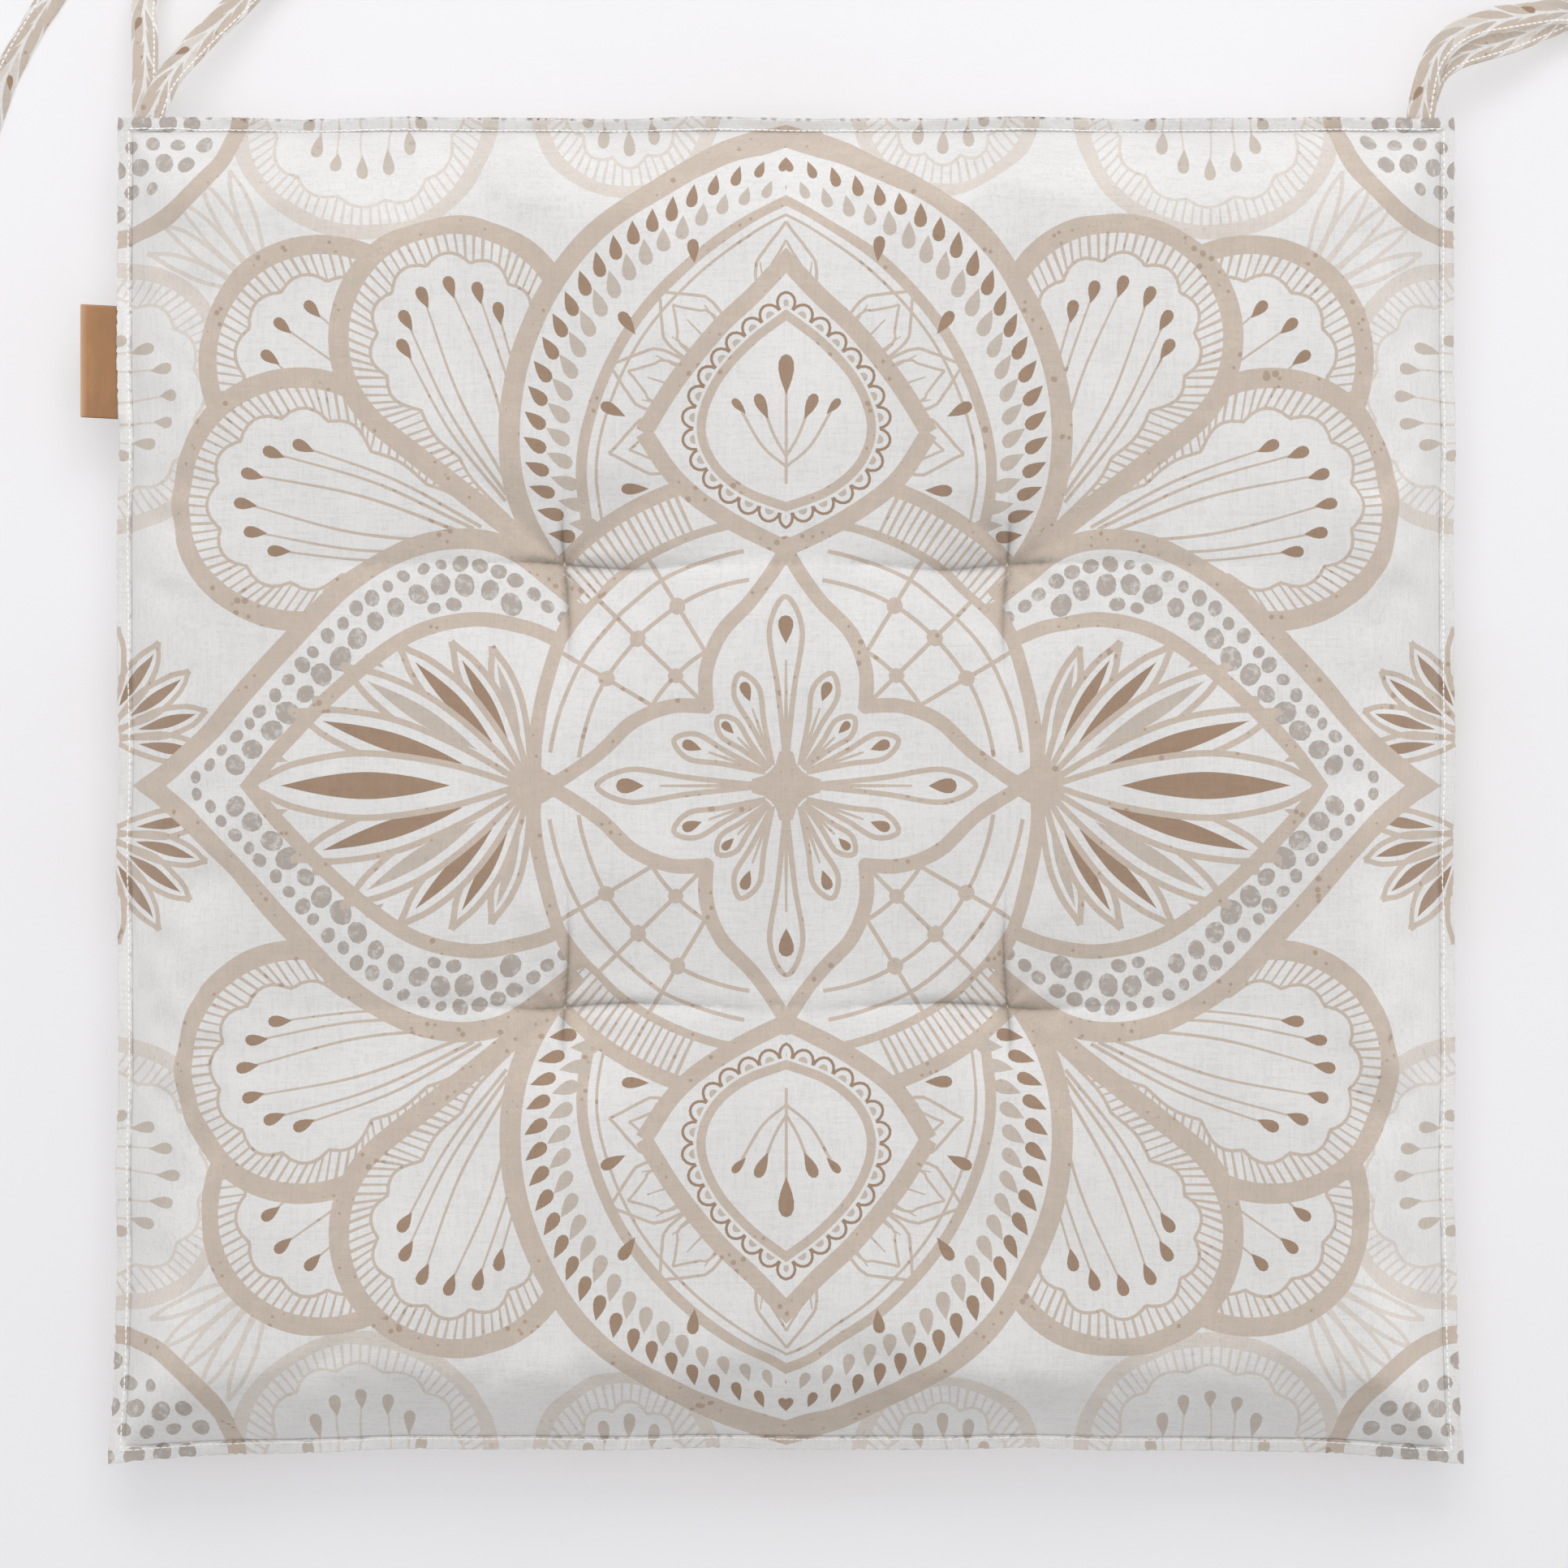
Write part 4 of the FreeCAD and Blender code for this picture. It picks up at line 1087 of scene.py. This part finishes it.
# The routes of part.py, in metres: control points of each tie's NURBS line, from its root outwards.
# A point without a height lies on the floor.
TIE_REST = 0.0007
TIE_ROUTES = {
    "tie_left_lower": (
        (-0.1915, 0.197, 0.0192), (-0.1923, 0.2095, 0.0187), (-0.1924, 0.223, 0.0148), (-0.1938, 0.2375, 0.009),
        (-0.1866, 0.2523, 0.0044), (-0.1725, 0.2608, 0.0017), (-0.1555, 0.2605), (-0.134, 0.2575), (-0.11, 0.2585),
        (-0.084, 0.262), (-0.057, 0.263), (-0.031, 0.2605), (-0.007, 0.2595), (0.017, 0.262), (0.04, 0.2635),
        (0.052, 0.2627),
    ),
    "tie_left_upper": (
        (-0.191, 0.197, 0.0208), (-0.188, 0.208, 0.0214), (-0.1808, 0.2182, 0.0183), (-0.1685, 0.2315, 0.0125),
        (-0.1515, 0.248, 0.0074), (-0.1329, 0.2645, 0.0046), (-0.13, 0.2838, 0.0019), (-0.1397, 0.3007),
        (-0.1578, 0.3079), (-0.1765, 0.3023), (-0.196, 0.2745), (-0.214, 0.25), (-0.2298, 0.2263), (-0.2398, 0.206),
        (-0.2438, 0.189),
    ),
    "tie_right_lower": (
        (0.1895, 0.197, 0.0192), (0.1913, 0.2085, 0.0196), (0.1985, 0.2185, 0.0178), (0.212, 0.2222, 0.0136),
        (0.2265, 0.2275, 0.0086), (0.242, 0.235, 0.0044), (0.26, 0.239, 0.0016), (0.277, 0.232), (0.288, 0.217),
        (0.2913, 0.1986), (0.2897, 0.178), (0.286, 0.156), (0.2845, 0.132), (0.286, 0.108), (0.289, 0.082),
        (0.29, 0.056), (0.289, 0.045),
    ),
    "tie_right_upper": (
        (0.1897, 0.197, 0.0208), (0.191, 0.2096, 0.0222), (0.196, 0.222, 0.0216), (0.2065, 0.2288, 0.019),
        (0.221, 0.231, 0.0148), (0.236, 0.234, 0.0104), (0.2529, 0.2285, 0.0056), (0.2645, 0.215, 0.0022),
        (0.2682, 0.197), (0.2676, 0.178), (0.2649, 0.1565), (0.264, 0.131), (0.266, 0.106), (0.2685, 0.08),
        (0.2685, 0.052), (0.2658, 0.021),
    ),
}
TIE_LENGTH, TIE_WIDTH = 0.300, 0.008
TIE_HALF = TIE_LENGTH / MM / 2
# The folded tie's section round its edge: across and up, from the middle of its underside.
TIE_SECTION = np.array([
    (0, -0.52), (2.6, -0.52), (3.6, -0.47), (3.92, -0.25), (4, 0), (3.92, 0.28), (3.5, 0.48), (2.7, 0.40),
    (1.9, 0.53), (0, 0.58), (-2.4, 0.55), (-3.5, 0.48), (-3.92, 0.26), (-4, 0), (-3.92, -0.25), (-3.6, -0.47),
    (-2.6, -0.52), (0, -0.52),
])
SECTION_RUN = np.concatenate([[0], np.cumsum(np.linalg.norm(np.diff(TIE_SECTION, axis=0), axis=1))])
STITCH_RUN, TOP_RUN, FULL_RUN = SECTION_RUN[[7, 9, -1]]
# Where each tie rolls a little to one side: millimetres along it, how far that spreads, and degrees.
TIE_ROLLS = (
    ((34, 16, -9), (52, 14, 12)), ((12, 9, 10), (36, 18, -12), (95, 16, 10)),
    ((16, 9, -8), (50, 20, 8)), ((20, 10, 12), (58, 20, -8)),
)


def route_line(name, route):
    """Points along a route's own NURBS spline, in millimetres."""
    curve = bpy.data.curves.new(name + "_line", "CURVE")
    curve.dimensions = "3D"
    curve.resolution_u = 14
    spline_data = curve.splines.new("NURBS")
    spline_data.points.add(len(route) - 1)
    for point, place in zip(spline_data.points, route):
        point.co = (*place, 1.0)
    spline_data.order_u = 3
    spline_data.use_endpoint_u = True
    holder = bpy.data.objects.new(name + "_line", curve)
    SCENE.collection.objects.link(holder)
    bpy.context.view_layer.update()
    flat = bpy.data.meshes.new_from_object(holder.evaluated_get(bpy.context.evaluated_depsgraph_get()))
    points = np.array([tuple(vertex.co) for vertex in flat.vertices]) / MM
    bpy.data.objects.remove(holder)
    bpy.data.meshes.remove(flat)
    return points


def tie_surface(line, rolls):
    """How the tie's cloth, along and round it, lies in space about its line."""
    places, ahead = along(line, pitch=1.5)
    up = np.array((0.0, 0.0, 1.0)) - ahead * ahead[:, 2:3]
    up /= np.linalg.norm(up, axis=1)[:, None]
    across = np.cross(ahead, up)
    run = np.linspace(-TIE_HALF, TIE_HALF, len(places))
    roll = sum(math.radians(degrees) * np.exp(-(((run + TIE_HALF - where) / reach) ** 2))
               for where, reach, degrees in rolls)[:, None]
    rolled = across * np.cos(roll) + up * np.sin(roll)
    lifted = up * np.cos(roll) - across * np.sin(roll)

    def place(along_tie, round_tie):
        along_tie = np.asarray(along_tie, float)
        round_tie = np.mod(np.asarray(round_tie, float), FULL_RUN)
        centre, side, rise = (looked_up(along_tie, run, table) for table in (places, rolled, lifted))
        a, b = looked_up(round_tie, SECTION_RUN, TIE_SECTION).T
        end = np.clip((TIE_HALF - np.abs(along_tie)) / 1.2, 0, 1)
        a = a * (1 + 0.03 * np.sin(along_tie / 6.3) + 0.02 * np.sin(along_tie / 2.9))
        b = b * np.sqrt(1 - (1 - end) ** 2) * (1 + 0.08 * np.sin(along_tie / 3.7))
        return centre + side * a[:, None] + rise * b[:, None]

    return place


def tie_print(seed):
    """The leafy stripe of the ties: long slanting leaves with the cloth showing between them, and a few drops."""
    art = Print(seed)
    inks = (SAND, SAND, FAINT, SAND, PALE)
    for middle in (TOP_RUN, 0, FULL_RUN):
        for number, start in enumerate(np.arange(-16, TIE_HALF + 6, 7.6)):
            for side in (-1, 1):
                ink = inks[(number * 2 + side + seed) % 5]
                length, lean = art.dice.uniform(14, 18), art.dice.uniform(0.18, 0.30)
                ahead = np.array((math.cos(lean), side * math.sin(lean)))
                base = np.array((start + art.dice.uniform(-0.8, 0.8) + 1.4 * side, middle + side * 0.35))
                art.petal_core(ink, base + ahead * length / 2, ahead * length / 2.3, ahead[::-1] * (-1.25, 1.25))
            if number % 6 == seed % 6:
                art.drop(BROWN, start + 4, middle + 2.0, 0.4, 5, 2.2)
    return art


def tie_cloth(seed):
    """The tie's folded strip, printed with its leafy stripe."""
    rows = [(run, place) for place in SECTION_RUN for run in np.arange(0, TIE_HALF, 3.0)]
    rows += [(TIE_HALF - back, place) for back in (0.1, 0.3, 0.7, 1.2) for place in SECTION_RUN]
    lines = [[(0, place), (TIE_HALF, place)] for place in SECTION_RUN[1:-1]]
    return mirrored(*tessellated(tie_print(seed), (0, 0), (TIE_HALF, FULL_RUN), rows, lines), ((1, 1), (-1, 1)))


for number, (name, route) in enumerate(TIE_ROUTES.items()):
    route = [(*point, TIE_REST)[:3] for point in route]
    centre_line = route_line(name, route)
    place = tie_surface(centre_line, TIE_ROLLS[number])
    tie = cloth_piece(name + "_ribbon", tie_cloth(11 + number), place,
                      (0.49 / TIE_HALF, 0.94 / FULL_RUN), (0.5, 0.03))
    declare(tie, "printed_cloth", name)
    places = np.arange(-TIE_HALF + 2.0, TIE_HALF - 1.5, 1.9)
    centres = np.stack([places, np.full(len(places), STITCH_RUN)], 1)
    sewn = sewn_line(name + "_stitches", place, centres, np.tile((1.0, 0.0), (len(places), 1)), 1.55, 0.27, 1, 0.28)
    declare(sewn, "sewing_thread", name + "_stitch")
    exit_point = Vector(route[0]) + (Vector(route[1]) - Vector(route[0])).normalized() * 0.003

# ---------------------------------------------------------------- leather tab

TAB_ROOT, TAB_FOLD = -ROOT - 0.9, LABEL_LOW.x
TAB_PLY = 0.5                              # half the thickness of the leather


def tab_section():
    """The folded strip's centre line, across and up, from the top ply's cut end round to the lower one's."""
    fold_reach = 0.66
    turn = TAB_FOLD + TAB_PLY + fold_reach
    upper = [(TAB_ROOT, 0.34), (-199.0, 0.46), (-201.0, 0.60), (-203.5, 0.68), (-206.5, 0.70), (-209.0, 0.70)]
    fold = [(turn - fold_reach * math.cos(angle), fold_reach * math.sin(angle) * 1.03)
            for angle in np.linspace(math.pi / 2 - 0.15, -math.pi / 2 + 0.15, 11)]
    return spline([*upper, *fold, *((x, -z) for x, z in reversed(upper))], 0.5)


def tab_points(centre, levels):
    """The tab's points, row by row down its length, outer side first, and each one's share of painted light, from
    painted shade at the border to a painted highlight at the fold; the inner side takes the darkest shade.
    """
    shells = [offset(centre, side) for side in (-TAB_PLY, TAB_PLY * 0.92)]
    pinch = np.clip((-shells[0][:, 0] - 197.0) / 4.0, 0.30, 1)[:, None]
    shells = [centre + (shell - centre) * pinch for shell in shells]
    points, painted_light_share = [], []
    for level in levels:
        shrink = 0.16 * max(0.0, (abs(level) - 0.975) / 0.025) ** 2
        for shell, outer in zip(shells, (True, False)):
            for (x, z), (cx, cz) in zip(shell, centre):
                share = (TAB_ROOT - x) / (TAB_ROOT - TAB_FOLD)
                length = max(math.hypot(x - cx, z - cz), 1e-6)
                px, pz = x - (x - cx) / length * shrink, z - (z - cz) / length * shrink
                y = LABEL_MIDDLE + level * (LABEL_HALF - 0.35) + 0.75 * (share - 0.5)
                points.append((px, y, SEAM_Z + pz + 0.10 * math.sin(y / 7.0) * share))
                painted_light_share.append(min(max(share, 0.0), 1.0) if outer else 0.0)
    return points, painted_light_share


def tab_faces(width, last):
    """The tab's faces, whether each is a cut edge, and their texture corners. A row has width points a side."""
    faces, marks, spots = [], [], []

    def add(quad, corners, mark, order=(0, 1, 2, 3)):
        faces.append([quad[corner] for corner in order])
        marks.append(mark)
        spots.extend(corners[corner] for corner in order)

    turned = (0, 3, 2, 1)
    ring = 2 * width
    for row in range(last):
        for place in range(width - 1):
            a, b = row * ring + place, (row + 1) * ring + place
            for side, order in ((0, (0, 1, 2, 3)), (1, turned)):
                corners = [(0.01 + side / 2 + 0.45 * x / width, 0.01 + 0.88 * y / last)
                           for x, y in ((place, row), (place, row + 1), (place + 1, row + 1), (place + 1, row))]
                quad = [corner + side * width for corner in (a, b, b + 1, a + 1)]
                add(quad, corners, int(row in (0, last - 1)), order)
    for place in range(width - 1):
        x0, x1 = (0.01 + 0.9 * (place + step) / width for step in (0, 1))
        for start, level, order in ((place, 0.91, (0, 1, 2, 3)), (last * ring + place, 0.95, turned)):
            corners = [(x0, level), (x1, level), (x1, level + 0.03), (x0, level + 0.03)]
            add((start, start + 1, start + 1 + width, start + width), corners, 1, order)
    for place, x, order in ((0, 0.965, (0, 1, 2, 3)), (width - 1, 0.98, (3, 2, 1, 0))):
        for row in range(last):
            a, b = row * ring + place, (row + 1) * ring + place
            y0, y1 = (0.01 + 0.88 * (row + step) / last for step in (0, 1))
            add((a, a + width, b + width, b), [(x, y0), (x + 0.01, y0), (x + 0.01, y1), (x, y1)], 1, order)
    return faces, marks, spots


centre = tab_section()
levels = [0.88, 0.89, 0.905, 0.915, 0.95, 0.98, 0.995, 1.0]
levels = [*(-level for level in reversed(levels)), *np.linspace(-0.8, 0.8, 15), *levels]
points, painted_light_share = tab_points(centre, levels)
faces, marks, spots = tab_faces(len(centre), len(levels) - 1)
tab = new_piece("leather_side_tab", points, faces, [LEATHER, LEATHER_EDGE], marks, spots,
                fields={"painted_light_share": painted_light_share})
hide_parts("label_loop", "label_tail")
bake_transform(tab)

# ---------------------------------------------------------------- stage

FRAME_WIDTH = 0.470                        # what the photograph shows across, at the pad's seam
DISTANCE = 2.4
FLOOR_REACH = 4.0

floor_mesh = bpy.data.meshes.new("floor")
floor_mesh.from_pydata([(x * FLOOR_REACH, y * FLOOR_REACH, 0) for x, y in ((-1, -1), (1, -1), (1, 1), (-1, 1))], [],
                       [(0, 1, 2, 3)])
floor = bpy.data.objects.new("floor", floor_mesh)
SCENE.collection.objects.link(floor)
floor_shader = Shader("pale_floor", 0.7, specular=0.1)
floor_tone = linear(241, 240, 242)
floor_mesh.materials.append(floor_shader.finished(
    floor_shader.ramp(floor_shader.noise(3.0), (0.4, scaled(floor_tone, 0.99)), (0.6, floor_tone))
))

for name, place, size, power, shadow in (
    ("window_behind", (-0.05, 1.55, 1.75), (1.8, 0.9), 10, True),
    ("window_fill", (-0.05, 1.7, 1.5), (1.8, 0.9), 15, False),
    ("soft_overhead", (0.0, 0.1, 2.9), (2.6, 2.6), 10.5, True),
    ("left_fill", (-2.0, 0.1, 0.35), (1.2, 0.5), 5.5, False),
    ("right_fill", (2.0, 0.1, 0.35), (1.2, 0.5), 8, False),
    ("front_fill", (0.0, -2.0, 0.35), (1.2, 0.5), 2.5, False),
):
    data = bpy.data.lights.new(name, "AREA")
    data.shape = "RECTANGLE"
    data.size, data.size_y = size
    data.energy = power
    data.use_shadow = shadow
    light = bpy.data.objects.new(name, data)
    light.location = place
    light.rotation_euler = (-Vector(place)).to_track_quat("-Z", "Y").to_euler()
    SCENE.collection.objects.link(light)

world = bpy.data.worlds.new("studio")
world.use_nodes = True
world.node_tree.nodes["Background"].inputs["Color"].default_value = (1, 1, 1, 1)
world.node_tree.nodes["Background"].inputs["Strength"].default_value = 0.53
SCENE.world = world
SCENE.view_settings.view_transform = "Standard"

camera_data = bpy.data.cameras.new("camera")
camera_data.sensor_width = 36
camera_data.lens = 36 * DISTANCE / FRAME_WIDTH
camera_data.clip_end = 20
camera = bpy.data.objects.new("camera", camera_data)
camera.location = (-0.0006, 0.0005, SEAM_Z * MM + DISTANCE)
SCENE.collection.objects.link(camera)
SCENE.camera = camera
